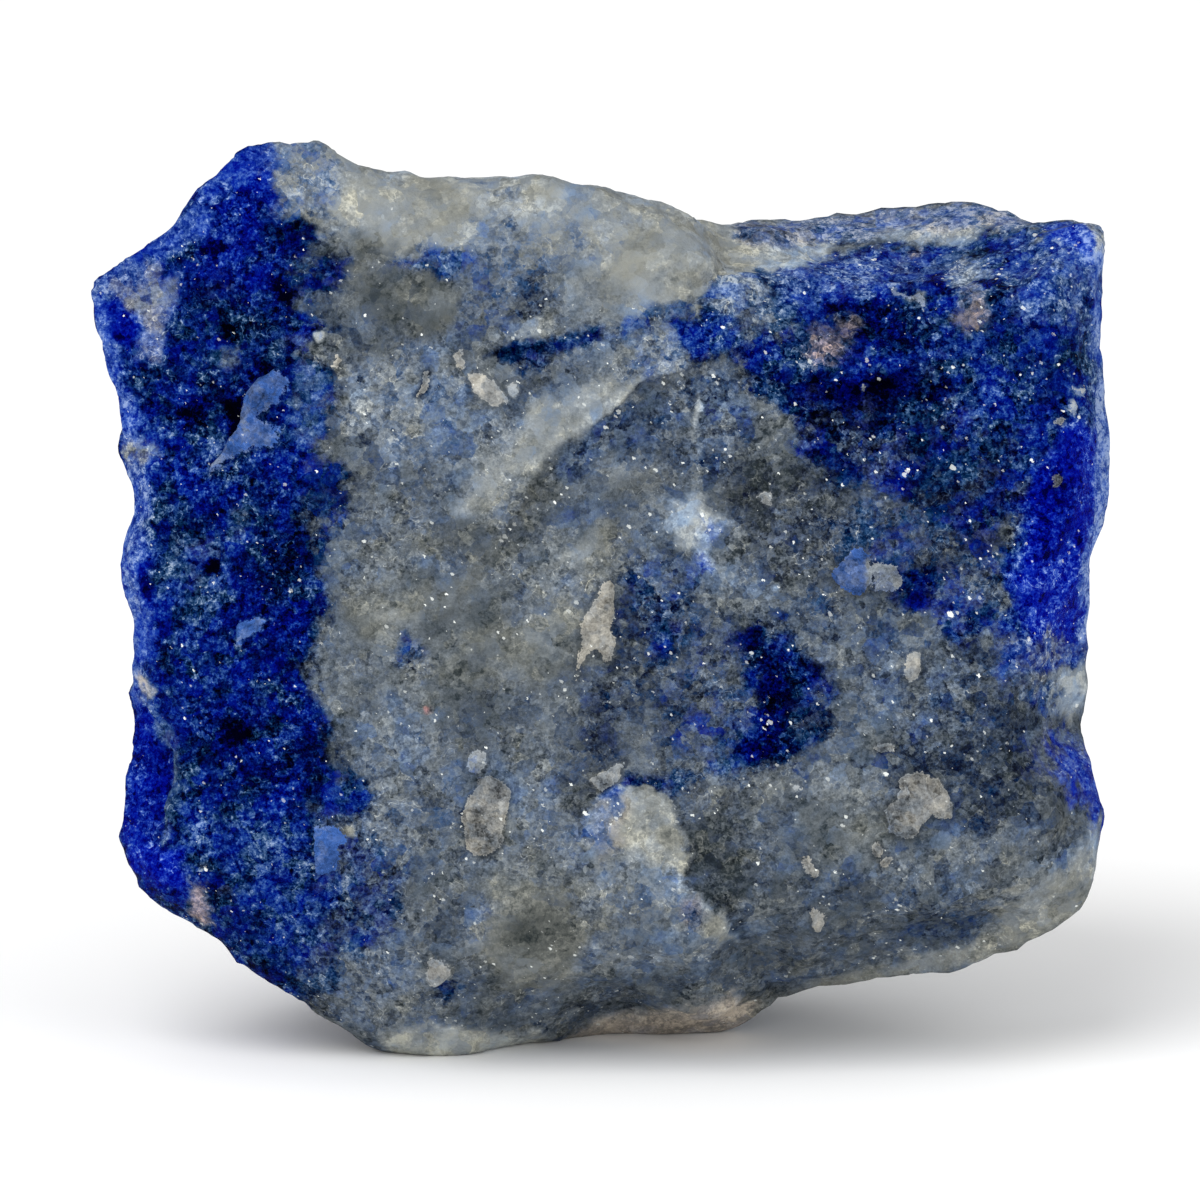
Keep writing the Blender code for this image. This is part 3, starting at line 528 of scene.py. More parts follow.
    "red dot": mark(oval(428, 709, 5, 6), 0.12, 0.05, pink=2.5, tone=0.3, blue=0.0),
    "green dot": mark(oval(775, 587, 8, 8), 0.12, 0.05, blue=0.0, tone=0.9, warm=-0.8),
    "upper band heart": mark([(210, 200), (258, 185), (268, 235), (280, 285), (230, 300), (192, 280)],
        1.0, 0.5, tone=-0.34, vivid=0.2),
    "left of the shadow": mark([(735, 345), (770, 340), (800, 350), (806, 372), (770, 385), (745, 372)],
        0.6, 0.4, blue=0.95, tone=-0.08),
    "slate above the blue flake": mark([(826, 522), (870, 507), (930, 517), (980, 532), (1000, 570),
        (994, 605), (950, 615), (892, 600), (842, 578)], 1.0, 0.5, blue=0.62, tone=-0.04),
    # Pits: near black, painted shade; pit one to six also have hollows of the same names.
    "pit one": mark(oval(216, 249, 20, 16), 0.4, 0.2, tone=-1.0),
    "pit two": mark(oval(228, 333, 22, 18), 0.4, 0.25, tone=-1.2),
    "pit three": mark(oval(264, 368, 18, 12), 0.3, 0.2, tone=-0.85),
    "pit four": mark(oval(190, 416, 32, 25, -12), 0.4, 0.25, tone=-0.95),
    "pit five": mark(oval(281, 290, 14, 26), 0.4, 0.25, tone=-1.2),
    "pit six": mark(oval(234, 730, 34, 22, 10), 0.7, 0.3, tone=-1.2),
    "pit seven": mark([(223, 403), (244, 400), (252, 415), (240, 442), (223, 448), (230, 425)], 0.5, 0.2,
        tone=-1.5),
    "pit eight": mark(oval(903, 291, 22, 12), 0.3, 0.2, tone=-0.68, blue=0.9),
    "pit nine": mark(oval(912, 588, 34, 18, -20), 0.9, 0.5, tone=-0.7, blue=0.85),
    # Clusters of painted glints.
    "sparkle by the navy": mark(oval(775, 758, 56, 70), 0.8, 0.5, glint=0.9),
    "sparkle right of the middle": mark(oval(850, 612, 60, 50), 0.8, 0.5, glint=1.0),
    "sparkle left of the middle": mark(oval(568, 690, 30, 40), 0.6, 0.5, glint=0.9),
    "lilac by the rim": mark([(1000, 668), (1040, 670), (1056, 678), (1060, 695), (1052, 712),
        (1025, 712), (1002, 700)], 0.8, 0.5, blue=0.75, tone=0.19, frost=0.3),
}

# A raised flake: its outline, how far it stands proud, its colour from blue (-1) to tan (1), and its tone.
Flake = namedtuple("Flake", "outline lift tint tone")

FLAKES = {
    "band flake": Flake([(274, 369), (284, 376), (291, 380), (289, 392), (284, 402), (272, 408),
        (262, 416), (264, 420), (276, 424), (283, 430), (282, 441), (272, 447), (258, 447), (244, 453),
        (231, 461), (220, 470), (212, 476), (215, 466), (222, 458), (228, 448), (234, 440), (243, 431),
        (248, 422), (244, 410), (245, 400), (250, 390), (260, 380)], 0.3, -0.8, 0.2),
    "small band flake": Flake([(239, 626), (241, 621), (249, 620), (260, 616), (267, 620), (265, 629),
        (256, 630), (250, 637), (244, 640), (242, 648), (239, 646), (241, 637)], 0.18, -0.8, 0.42),
    "square flake": Flake([(315, 826), (330, 825), (349, 832), (348, 842), (341, 845), (343, 856),
        (338, 866), (325, 871), (317, 869), (318, 850)], 0.18, -1.0, 0.35),
    "centre flake": Flake([(606, 584), (611, 592), (612, 606), (615, 619), (611, 628), (615, 639),
        (612, 660), (603, 659), (598, 650), (590, 652), (580, 668), (577, 680), (579, 660), (582, 640),
        (582, 625), (588, 612), (596, 600), (599, 588)], 0.3, 0.9, 0.21),
    "lower flake": Flake([(474, 779), (491, 775), (502, 781), (510, 790), (510, 802), (505, 817),
        (502, 832), (503, 839), (498, 848), (487, 854), (477, 854), (469, 845), (468, 832), (464, 817),
        (465, 804), (479, 785)], 0.2, 0.55, 0.0),
    "round flake": Flake(oval(477, 760, 20, 24), 0.18, -0.1, 0.28),
    "foot flake": Flake([(430, 958), (436, 954), (444, 958), (450, 964), (452, 972), (446, 979),
        (436, 981), (429, 974)], 0.22, 0.45, 0.4),
    "plate tip": Flake([(592, 780), (598, 772), (608, 768), (611, 765), (622, 764), (621, 780),
        (612, 784), (602, 791)], 0.2, 0.4, 0.26),
    "tan flake": Flake([(884, 810), (896, 800), (897, 782), (904, 773), (918, 769), (928, 776),
        (936, 777), (944, 787), (952, 804), (949, 818), (939, 817), (929, 815), (919, 822), (915, 834),
        (903, 838), (888, 833)], 0.25, 0.5, 0.05),
    "blue flake": Flake([(831, 574), (836, 567), (842, 559), (851, 550), (861, 548), (868, 558),
        (871, 573), (869, 586), (862, 596), (848, 594), (834, 582)], 0.25, -0.75, 0.16),
    "grey flake": Flake([(871, 565), (883, 565), (896, 567), (897, 574), (903, 579), (902, 586),
        (893, 591), (883, 593), (873, 592)], 0.2, -0.1, 0.02),
    "white flake": Flake([(905, 655), (913, 653), (918, 655), (918, 662), (920, 670), (916, 678),
        (909, 683), (901, 678), (902, 667)], 0.22, 0.6, 0.37),
    "small tan flake": Flake([(757, 497), (764, 493), (770, 495), (773, 506), (765, 504)], 0.15, 0.6,
        0.32),
    "step flake": Flake([(470, 376), (480, 373), (494, 380), (505, 396), (508, 405), (498, 408),
        (486, 402), (476, 392)], 0.15, 0.6, 0.42),
    "step flake small": Flake([(457, 357), (462, 354), (466, 364), (463, 371), (457, 366)], 0.12, 0.6,
        0.18),
    "under the top flake": Flake([(889, 292), (898, 294), (906, 297), (919, 294), (924, 300), (922, 307),
        (915, 305), (908, 303), (899, 300), (892, 297)], 0.16, -0.1, 0.33),
    "bit one": Flake([(802, 855), (808, 853), (812, 862), (818, 870), (815, 878), (808, 872)], 0.18, 0.8,
        0.1),
    "bit two": Flake([(812, 905), (818, 908), (826, 920), (820, 932), (814, 930), (812, 918)], 0.18, 0.8,
        0.33),
    "bit three": Flake([(868, 845), (874, 840), (882, 848), (876, 856), (869, 854)], 0.15, 0.6, -0.02),
    "bit four": Flake([(877, 860), (886, 853), (891, 858), (886, 866), (878, 866)], 0.15, 0.6, 0.02),
    "bit five": Flake([(873, 746), (882, 742), (893, 744), (890, 749), (878, 750)], 0.12, 0.5, -0.22),
    "bit six": Flake([(788, 784), (796, 783), (801, 787), (793, 789)], 0.12, 0.4, 0.69),
    "bit seven": Flake([(1066, 402), (1072, 400), (1075, 408), (1070, 413), (1066, 409)], 0.15, 0.0,
        1.23),
    "bit eight": Flake([(1073, 391), (1080, 387), (1083, 391), (1077, 396)], 0.12, 0.2, 1.18),
    "bit nine": Flake([(1052, 422), (1058, 417), (1061, 421), (1056, 428)], 0.12, 0.2, 0.05),
    "bit ten": Flake([(1050, 478), (1056, 474), (1060, 477), (1056, 486), (1051, 487)], 0.12, 0.1, -0.57),
    "bit eleven": Flake([(859, 388), (864, 384), (866, 388), (862, 393)], 0.12, 0.3, 0.09),
    "bit twelve": Flake([(508, 387), (514, 384), (518, 392), (516, 400), (510, 397)], 0.15, 0.2, 0.69),
    "bit thirteen": Flake([(332, 367), (338, 356), (342, 361), (337, 370)], 0.12, 0.9, 0.4),
    "bit fourteen": Flake([(316, 334), (327, 333), (324, 339), (320, 341)], 0.12, 0.1, 1.4),
    "bit fifteen": Flake([(416, 396), (424, 382), (423, 374), (430, 372), (428, 388), (420, 398)], 0.12,
        0.3, -0.11),
}

# A step in the surface: its line, with the high side on its left, its height and how far it reaches back.
Step = namedtuple("Step", "line height reach")

STEPS = {
    "ridge step": Step([(493, 550), (505, 533), (519, 515), (530, 499), (538, 482), (547, 461),
        (560, 449), (570, 442), (589, 430), (602, 421), (614, 409), (627, 394), (640, 382), (648, 377),
        (671, 373), (690, 367)], 0.45, 3.0),
    "plate step": Step([(736, 940), (726, 924), (725, 912), (712, 902), (703, 897), (690, 895),
        (684, 883), (691, 865), (686, 851), (678, 827), (676, 815), (668, 799), (650, 789), (636, 787),
        (622, 783)], 0.4, 4.0),
    "facet step": Step([(136, 690), (150, 705), (168, 728), (180, 752), (180, 775), (170, 805),
        (160, 832)], 0.3, 1.5),
    "crack step": Step([(484, 354), (515, 350), (545, 353), (590, 342), (640, 324)], 0.2, 2.0),
    "shadow step": Step([(940, 384), (912, 376), (880, 376), (850, 380), (810, 385), (775, 392)], 0.3,
        2.5),
    "under the top step": Step([(925, 306), (905, 300), (885, 296), (868, 290)], 0.25, 1.5),
}

# A narrow groove: its line, depth and half width.
Groove = namedtuple("Groove", "line depth wide")

GROOVES = {
    "crack": Groove([(484, 354), (513, 354), (545, 352), (590, 343), (615, 334)], 0.22, 0.16),
    "rim line": Groove([(1022, 673), (1050, 666), (1080, 658)], 0.1, 0.12),
    "band groove": Groove([(255, 380), (246, 410), (224, 446)], 0.15, 0.2),
}

# A hollow: its outline and depth.
Hollow = namedtuple("Hollow", "outline depth")

HOLLOWS = {
    "pit one": Hollow(oval(216, 249, 22, 18), 0.25),
    "pit two": Hollow(oval(228, 333, 26, 22), 0.3),
    "pit three": Hollow(oval(264, 368, 22, 16), 0.22),
    "pit four": Hollow(oval(190, 413, 30, 30), 0.28),
    "pit five": Hollow(oval(281, 290, 18, 30), 0.22),
    "pit six": Hollow(oval(234, 730, 46, 30, 10), 0.35),
    "navy": Hollow([(758, 680), (800, 690), (795, 720), (780, 745), (750, 755), (756, 725)], 0.35),
    "shadow": Hollow([(830, 388), (880, 378), (950, 384), (955, 400), (880, 408), (840, 408)], 0.35),
    "under the top": Hollow([(850, 305), (888, 300), (920, 325), (905, 350), (860, 335)], 0.3),
    "slate": Hollow([(585, 690), (615, 690), (612, 755), (590, 765), (575, 730)], 0.25),
    "foot brown": Hollow(oval(556, 925, 40, 60), 0.22),
    "white burst": Hollow(oval(700, 500, 34, 20), 0.15),
}


# Places

def face_axes():
    """Across, up and into the broad face, as rows."""
    return np.array([
        [1, 0, 0],
        [0, math.sin(LEAN), math.cos(LEAN)],
        [0, math.cos(LEAN), -math.sin(LEAN)],
    ])


def to_face(points):
    """From the world to the face's frame: across, up and in from AIM."""
    return (points - np.array(AIM)) @ face_axes().T


def on_face(pixels):
    """The photograph's pixels as places across and up the face."""
    return (np.array(pixels, float) - PHOTO_SIDE / 2) * (PIXEL, -PIXEL)


def smoothstep(low, high, x):
    t = np.clip((x - low) / (high - low), 0, 1)
    return t * t * (3 - 2 * t)


# Mesh work on plain arrays

def welded(obj):
    """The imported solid's points in millimetres and its triangles, with shared corners joined."""
    mesh = obj.data
    mesh.calc_loop_triangles()
    points = np.empty(len(mesh.vertices) * 3)
    mesh.vertices.foreach_get("co", points)
    faces = np.empty(len(mesh.loop_triangles) * 3, int)
    mesh.loop_triangles.foreach_get("vertices", faces)
    points = points.reshape(-1, 3) / MM
    _, first, index = np.unique(np.round(points, 3), axis=0, return_index=True, return_inverse=True)
    faces = index.reshape(-1)[faces.reshape(-1, 3)]
    whole = (faces[:, 0] != faces[:, 1]) & (faces[:, 1] != faces[:, 2]) & (faces[:, 2] != faces[:, 0])
    return points[first], faces[whole]


def edges_of(faces):
    """The edges, each once, and the numbers of each triangle's three edges, the first from corner 0 to 1."""
    ends = np.concatenate([faces[:, [0, 1]], faces[:, [1, 2]], faces[:, [2, 0]]])
    edges, index = np.unique(np.sort(ends, axis=1), axis=0, return_inverse=True)
    return edges, index.reshape(3, -1).T


def gathered(index, values, count):
    """The sum of the rows of values that share each index."""
    return np.stack([np.bincount(index, values[:, i], count) for i in range(3)], axis=1)


def normals_of(points, faces):
    a, b, c = (points[faces[:, i]] for i in range(3))
    face_normals = np.cross(b - a, c - a)
    sums = sum(gathered(faces[:, i], face_normals, len(points)) for i in range(3))
    return sums / np.maximum(np.linalg.norm(sums, axis=1), 1e-12)[:, None]


def neighbour_mean(faces, count):
    """A function from all the points to the mean of each one's neighbours."""
    edges, _ = edges_of(faces)
    a, b = edges.T
    valence = np.bincount(edges.reshape(-1), minlength=count)[:, None]
    return lambda points: (gathered(a, points[b], count) + gathered(b, points[a], count)) / valence


def smoothed(points, faces, rounds):
    """Each point moved half way to the mean of its neighbours, and then most of the way back."""
    mean = neighbour_mean(faces, len(points))
    for _ in range(rounds):
        for share in (0.5, -0.475):
            points = points + share * (mean(points) - points)
    return points


def unspiked(points, faces, most, rounds):
    """Points that stand further than most from the mean of their neighbours are drawn in to that distance."""
    mean = neighbour_mean(faces, len(points))
    for _ in range(rounds):
        middle = mean(points)
        away = points - middle
        length = np.linalg.norm(away, axis=1)
        points = middle + away * np.minimum(1, most / np.maximum(length, 1e-9))[:, None]
    return points


def split(points, faces, marked, edges, index):
    """Cuts every marked edge in half, and each triangle along its cut edges."""
    number = np.full(len(edges), -1)
    number[marked] = len(points) + np.arange(marked.sum())
    middles = points[edges[marked]].mean(1)
    cut = number[index]
    cuts = (cut >= 0).sum(1)
    result = [faces[cuts == 0]]
    for turn in range(3):
        order = [turn, (turn + 1) % 3, (turn + 2) % 3]
        corner, mid = faces[:, order], cut[:, order]
        one = (cuts == 1) & (mid[:, 0] >= 0)
        a, b, c = corner[one].T
        m = mid[one, 0]
        result += [np.stack(t, 1) for t in ((a, m, c), (m, b, c))]
        two = (cuts == 2) & (mid[:, 2] < 0)
        a, b, c = corner[two].T
        m, n = mid[two, 0], mid[two, 1]
        result += [np.stack(t, 1) for t in ((m, b, n), (a, m, n), (a, n, c))]
    a, b, c = faces[cuts == 3].T
    m, n, o = cut[cuts == 3].T
    result += [np.stack(t, 1) for t in ((a, m, o), (m, b, n), (o, n, c), (m, n, o))]
    return np.concatenate([points, middles]), np.concatenate(result)


def refined(points, faces, wanted):
    """Halves edges, with the longest edge of the triangles they touch, until none is longer than wanted."""
    while True:
        edges, index = edges_of(faces)
        ends = points[edges]
        length = np.linalg.norm(ends[:, 0] - ends[:, 1], axis=1)
        most = wanted(ends.mean(1))
        marked = length > most
        if not marked.any():
            return points, faces
        longest = index[np.arange(len(faces)), length[index].argmax(1)]
        touched = marked[index].any(1) & (length[longest] > CUT_TOO * most[longest])
        marked[longest[touched]] = True
        points, faces = split(points, faces, marked, edges, index)


# Noise on plain arrays

def hashed(cells, seed):
    """Three even random numbers from 0 to 1 for each whole-number cell."""
    x, y, z = (cells[..., i].astype(np.uint32) * np.uint32(factor) for i, factor in enumerate(AXIS_FACTORS))
    mixed = x ^ y ^ z ^ np.uint32(seed * SEED_FACTOR % 2**32)
    result = []
    for salt in SALTS:
        h = (mixed ^ (mixed >> np.uint32(15))) * np.uint32(salt)
        h = (h ^ (h >> np.uint32(13))) * np.uint32(LAST_FACTOR)
        result.append((h ^ (h >> np.uint32(16))) / 2.0**32)
    return np.stack(result, axis=-1)


def noise(points, size, seed):
    """Smooth noise, three values from -1 to 1, with lumps of about that size."""
    place = points / size
    cell = np.floor(place).astype(np.int64)
    part = place - cell
    part = part * part * part * (part * (part * 6 - 15) + 10)
    total = np.zeros((len(points), 3))
    for corner in np.ndindex(2, 2, 2):
        weight = np.prod(np.where(corner, part, 1 - part), axis=1)
        total += weight[:, None] * (hashed(cell + corner, seed) * 2 - 1)
    return total


def layered_noise(points, size, seed, layers):
    """Noise and finer noise on top, each layer half the size and half as strong."""
    return sum(0.5**i * noise(points + LAYER_SHIFT * i, size / 2**i, seed + i) for i in range(layers))


def chips(points, size, seed):
    """Shallow dishes around scattered centres, which meet in ridges, as on a broken stone."""
    place = points / size
    cell = np.floor(place).astype(np.int64)
    height = np.full(len(points), np.inf)
    for step in np.ndindex(3, 3, 3):
        near = cell + np.array(step) - 1
        offset = place - near - hashed(near, seed)
        lean = (hashed(near, seed + 50) - 0.5) * 2 * DISH_TILT
        away = (offset * offset).sum(1)
        dish = hashed(near, seed + 90)[:, 0] * DISH_LIFT + (offset * lean).sum(1) + DISH_CURVE * away
        dish += DISH_STEEP * np.maximum(np.sqrt(away) - DISH_REACH, 0) ** 2
        height = np.minimum(height, dish)
    return (height - height.mean()) * size


# Distances on the face

def to_segments(place, line):
    """For each place, the nearest distance to the line's segments, and the side: 1 left of it, -1 right."""
    best = np.full(len(place), np.inf)
    side = np.ones(len(place))
    for start, end in zip(line[:-1], line[1:]):
        run = end - start
        offset = place - start
        share = np.clip(offset @ run / (run @ run), 0, 1)
        away = np.linalg.norm(offset - share[:, None] * run, axis=1)
        nearer = away < best
        best[nearer] = away[nearer]
        cross = run[0] * offset[nearer, 1] - run[1] * offset[nearer, 0]
        side[nearer] = np.where(cross >= 0, 1, -1)
    return best, side


def inside(place, outline):
    """Whether each place is inside the closed outline."""
    result = np.zeros(len(place), bool)
    for (x0, y0), (x1, y1) in zip(outline, np.roll(outline, -1, axis=0)):
        crosses = (y0 > place[:, 1]) != (y1 > place[:, 1])
        if y0 != y1:
            result ^= crosses & (place[:, 0] < (x1 - x0) * (place[:, 1] - y0) / (y1 - y0) + x0)
    return result


def depth_inside(place, outline, reach):
    """How far inside the outline each place is, in millimetres, and as negative how far outside, to reach."""
    outline = on_face(outline)
    result = np.full(len(place), -float(reach))
    near = ((place > outline.min(0) - reach) & (place < outline.max(0) + reach)).all(1)
    away, _ = to_segments(place[near], np.vstack([outline, outline[:1]]))
    result[near] = np.maximum(np.where(inside(place[near], outline), away, -away), -reach)
    return result


class Surface:
    """The fine mesh's points as places on the face, with the fields painted on them."""

    def __init__(self, points, normals):
        self.points = points
        self.across, self.deep = np.split(to_face(points), [2], axis=1)
        self.front = smoothstep(*FRONT_FACING, -(normals @ face_axes()[2]))
        self.behind = 1 - self.front
        self.stray = sum(share * layered_noise(points, size, seed, 2)[:, :2] for size, seed, share in STRAYS)
        self.fields = {name: np.full(len(points), value) for name, value in FIELDS.items()}

    def strayed(self, ragged):
        """The places on the face, moved at random so that an outline's edge comes out ragged."""
        return self.across + ragged * self.stray

    def approach(self, name, value, weight):
        """Moves a field by the weight, from 0 to 1, towards the value."""
        self.fields[name] += weight * (value - self.fields[name])

    def paint(self, patch, place, share=1.0):
        half = patch.soft / 2
        weight = smoothstep(-half, half, depth_inside(place, patch.outline, half + MARK_MARGIN)) * share
        for name, value in patch.values.items():
            self.approach(name, value, weight)


# The stone's shape

def wanted_edge(points):
    """The longest edge wanted at each point."""
    place = to_face(points)
    front = smoothstep(FACE_DEPTH, 0.0, place[:, 2])
    edge = OTHER_EDGE + (FACE_EDGE - OTHER_EDGE) * front
    near = np.zeros(len(points), bool)
    for flake in FLAKES.values():
        near |= np.abs(depth_inside(place[:, :2], flake.outline, RIM_REACH)) < RIM_NEAR
    for step in STEPS.values():
        near |= to_segments(place[:, :2], on_face(step.line))[0] < RIM_NEAR
    edge[near & (front > 0.5)] = RIM_EDGE
    return edge


def natural_relief(surface):
    """Broken-stone relief, deeper on the sides and the back than on the flat broad face."""
    points = surface.points
    height = sum(chips(points, size, SEED + i) * (depth + more * surface.behind)
                 for i, (size, depth, more) in enumerate(CHIPS))
    return height + CRUMB_DEPTH * layered_noise(points, CRUMB_SIZE, SEED + 3, 2)[:, 0]


def flank(signed, reach):
    """One side of a step: full height beside its line, and less with the distance from it."""
    return np.exp(-np.maximum(signed, 0) / reach) * smoothstep(-STEP_SOFT, STEP_SOFT, signed)


def placed_relief(surface):
    """The steps, grooves, hollows and flakes of the broad face. Flakes also go into the fields."""
    height = np.zeros(len(surface.points))
    place = surface.strayed(RIM_RAGGED)
    for step in STEPS.values():
        line = on_face(step.line)
        away, side = to_segments(place, line)
        run = np.linalg.norm(np.diff(line, axis=0), axis=1).sum()
        ends = np.minimum(*(np.linalg.norm(place - end, axis=1) for end in (line[0], line[-1])))
        fade = smoothstep(0, min(STEP_FADE, run / 3), ends)
        rise = flank(away * side, step.reach) - STEP_LOW * flank(-away * side, step.reach / 2)
        height += step.height * fade * rise
    for groove in GROOVES.values():
        away, _ = to_segments(place, on_face(groove.line))
        height -= groove.depth * np.exp(-(away / groove.wide) ** 2)
    for hollow in HOLLOWS.values():
        height -= hollow.depth * smoothstep(*HOLLOW_EDGE, depth_inside(place, hollow.outline, HOLLOW_REACH))
    for flake in FLAKES.values():
        deep = depth_inside(place, flake.outline, FLAKE_REACH)
        height += flake.lift * smoothstep(*FLAKE_EDGE, deep)
        shown = np.where(surface.front > 0.5, deep, FIELDS["flake"])
        surface.fields["flake"] = np.maximum(surface.fields["flake"], shown)
        surface.approach("tint", flake.tint, smoothstep(*FLAKE_TINT_EDGE, deep))
        surface.approach("tone", flake.tone, smoothstep(*FLAKE_TONE_EDGE, deep))
    return height * surface.front


def paint_stone(surface):
    """Fills the surface's fields: zones through the stone, mottling, and marks on the broad face."""
    points = surface.points
    drift = DRIFT * np.maximum(surface.deep, 0) * layered_noise(points, DRIFT_SIZE, SEED + 30, 3)[:, :2]
    for zone in ZONES.values():
        surface.paint(zone, surface.strayed(zone.ragged) + drift)
    mottle = layered_noise(points, MOTTLE_SIZE, SEED + 34, 3)
    for i, (name, (strength, more)) in enumerate(MOTTLE.items()):
        surface.fields[name] += (strength + more * surface.behind) * mottle[:, i]
    for patch in MARKS.values():
        surface.paint(patch, surface.strayed(patch.ragged), surface.front)


def stone_shape():
    """The fine mesh's points and triangles, and the fields painted on it."""
    points, faces = welded(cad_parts["sodalite"])
    points, faces = refined(points, faces, lambda place: np.full(len(place), COARSE_EDGE))
    points = smoothed(points, faces, 2)
    points, faces = refined(points, faces, wanted_edge)
    points = smoothed(points, faces, 3)
    normals = normals_of(points, faces)
    surface = Surface(points, normals)
    paint_stone(surface)
    relief = natural_relief(surface) + placed_relief(surface)
    calm = smoothstep(0.0, CALM_FOOT, points[:, 2])
    points = unspiked(points + normals * (relief * calm)[:, None], faces, LONGEST_SPIKE, 3)
    points[:, 2] = np.maximum(points[:, 2], 0)
    return points, faces, surface.fields


def grain_place(points):
    """Each point's place for the textures, drawn together in depth so that slopes show no streaks."""
    place = to_face(points)
    place[:, 2] = np.interp(place[:, 2], DEPTHS, GRAIN_DEPTHS)
    return place


# Materials

def linear(red, green, blue):
    """A colour as seen on screen, from 0 to 255, as Blender's linear values."""
    return tuple(c / 12.92 if c <= 0.04045 else ((c + 0.055) / 1.055) ** 2.4
                 for c in (red / 255, green / 255, blue / 255)) + (1.0,)


class Nodes:
    """Short calls that add nodes to one material. An input is a value or another node's output."""

    def __init__(self, name):
        self.material = bpy.data.materials.new(name)
        self.material.use_nodes = True
        self.tree = self.material.node_tree
        self.shader = self.tree.nodes["Principled BSDF"]

    def add(self, kind, inputs, output=0, **settings):
        node = self.tree.nodes.new(kind)
        for name, value in settings.items():
            setattr(node, name, value)
        for key, value in inputs.items():
            self.give(node.inputs[key], value)
        return node.outputs[output]

    def give(self, socket, value):
        if isinstance(value, bpy.types.NodeSocket):
            self.tree.links.new(value, socket)
        else:
            socket.default_value = value

    def stored(self, name, output="Fac"):
        """What the mesh's points carry under that name."""
        return self.add("ShaderNodeAttribute", {}, output, attribute_name=name)

    def math(self, operation, a, b=0.0, c=0.0):
        return self.add("ShaderNodeMath", {0: a, 1: b, 2: c}, operation=operation)

    def scaled(self, vector, scale, shift):
        """The vector times a number, plus a number or another vector."""
        return self.add("ShaderNodeVectorMath", {0: vector, 1: (scale,) * 3, 2: shift},
                        operation="MULTIPLY_ADD")

    def weighted(self, start, *terms):
        """start plus each (value, weight) pair's product."""
        total = start
        for value, weight in terms:
            total = self.math("MULTIPLY_ADD", value, weight, total)
        return total

    def step(self, value, low, high, top=1.0):
        """0 at low and top at high, with a smooth change between them."""
        inputs = {"Value": value, "From Min": low, "From Max": high, "To Max": top}
        return self.add("ShaderNodeMapRange", inputs, interpolation_type="SMOOTHSTEP")

    def mix(self, share, a, b, blend="MIX"):
        """Mixes two colours. A Mix node has them at 6 and 7, and the result at 2."""
        return self.add("ShaderNodeMix", {0: share, 6: a, 7: b}, 2, data_type="RGBA", blend_type=blend)

    def between(self, share, a, b):
        """Mixes two numbers. A Mix node has them at 2 and 3."""
        return self.add("ShaderNodeMix", {0: share, 2: a, 3: b}, data_type="FLOAT")

    def stretched(self, place, lean, stretch):
        """The place in a frame turned anticlockwise by degrees, so that textures draw out along the turn."""
        inputs = {"Vector": place, "Rotation": (0, 0, math.radians(lean)), "Scale": (stretch, 1.0, 1.0)}
        return self.add("ShaderNodeMapping", inputs, vector_type="TEXTURE")

    def noise(self, place, per_mm, detail=2.0, rough=0.5):
        """Noise with its middle at 0, mostly within half of one."""
        inputs = {"Vector": place, "Scale": per_mm, "Detail": detail, "Roughness": rough}
        return self.math("SUBTRACT", self.add("ShaderNodeTexNoise", inputs), 0.5)

    def bent(self, place, per_mm, detail, reach):
        """The place moved at random by about half of reach, so that what is read there has ragged edges."""
        inputs = {"Vector": place, "Scale": per_mm, "Detail": detail}
        return self.scaled(self.add("ShaderNodeTexNoise", inputs, "Color"), reach, place)

    def cells(self, place, per_mm, output="Distance", feature="F1"):
        return self.add("ShaderNodeTexVoronoi", {"Vector": place, "Scale": per_mm}, output, feature=feature)

    def grains(self, place, per_mm):
        """Three random numbers from -1 to 1, the same all over each crystal grain."""
        spread = self.scaled(self.cells(place, per_mm, "Color"), 2, (-1, -1, -1))
        return self.add("ShaderNodeSeparateXYZ", {0: spread}).node.outputs

    def ramp(self, value, stops):
        node = self.tree.nodes.new("ShaderNodeValToRGB")
        self.give(node.inputs[0], value)
        elements = node.color_ramp.elements
        elements[0].position, elements[-1].position = stops[0][0], stops[-1][0]
        elements[0].color, elements[-1].color = linear(*stops[0][1:]), linear(*stops[-1][1:])
        for position, *colour in stops[1:-1]:
            elements.new(position).color = linear(*colour)
        return node.outputs[0]


def glints(n, place, amount, per_mm, size, rare):
    """Painted highlights of small crystal faces: a ragged dot in a few of the cells, mostly faint."""
    away = n.cells(place, per_mm)
    chance = n.add("ShaderNodeSeparateColor", {0: away.node.outputs["Color"]}).node.outputs
    reach = n.math("MULTIPLY", n.math("POWER", chance[0], rare), amount)
    reach = n.math("MULTIPLY", reach, size * per_mm)
    glow = n.weighted(0.3, (n.math("POWER", chance[1], 2.0), 0.65))
    return n.math("MULTIPLY", n.step(n.math("SUBTRACT", reach, away), 0.0, 0.25 * size * per_mm), glow)


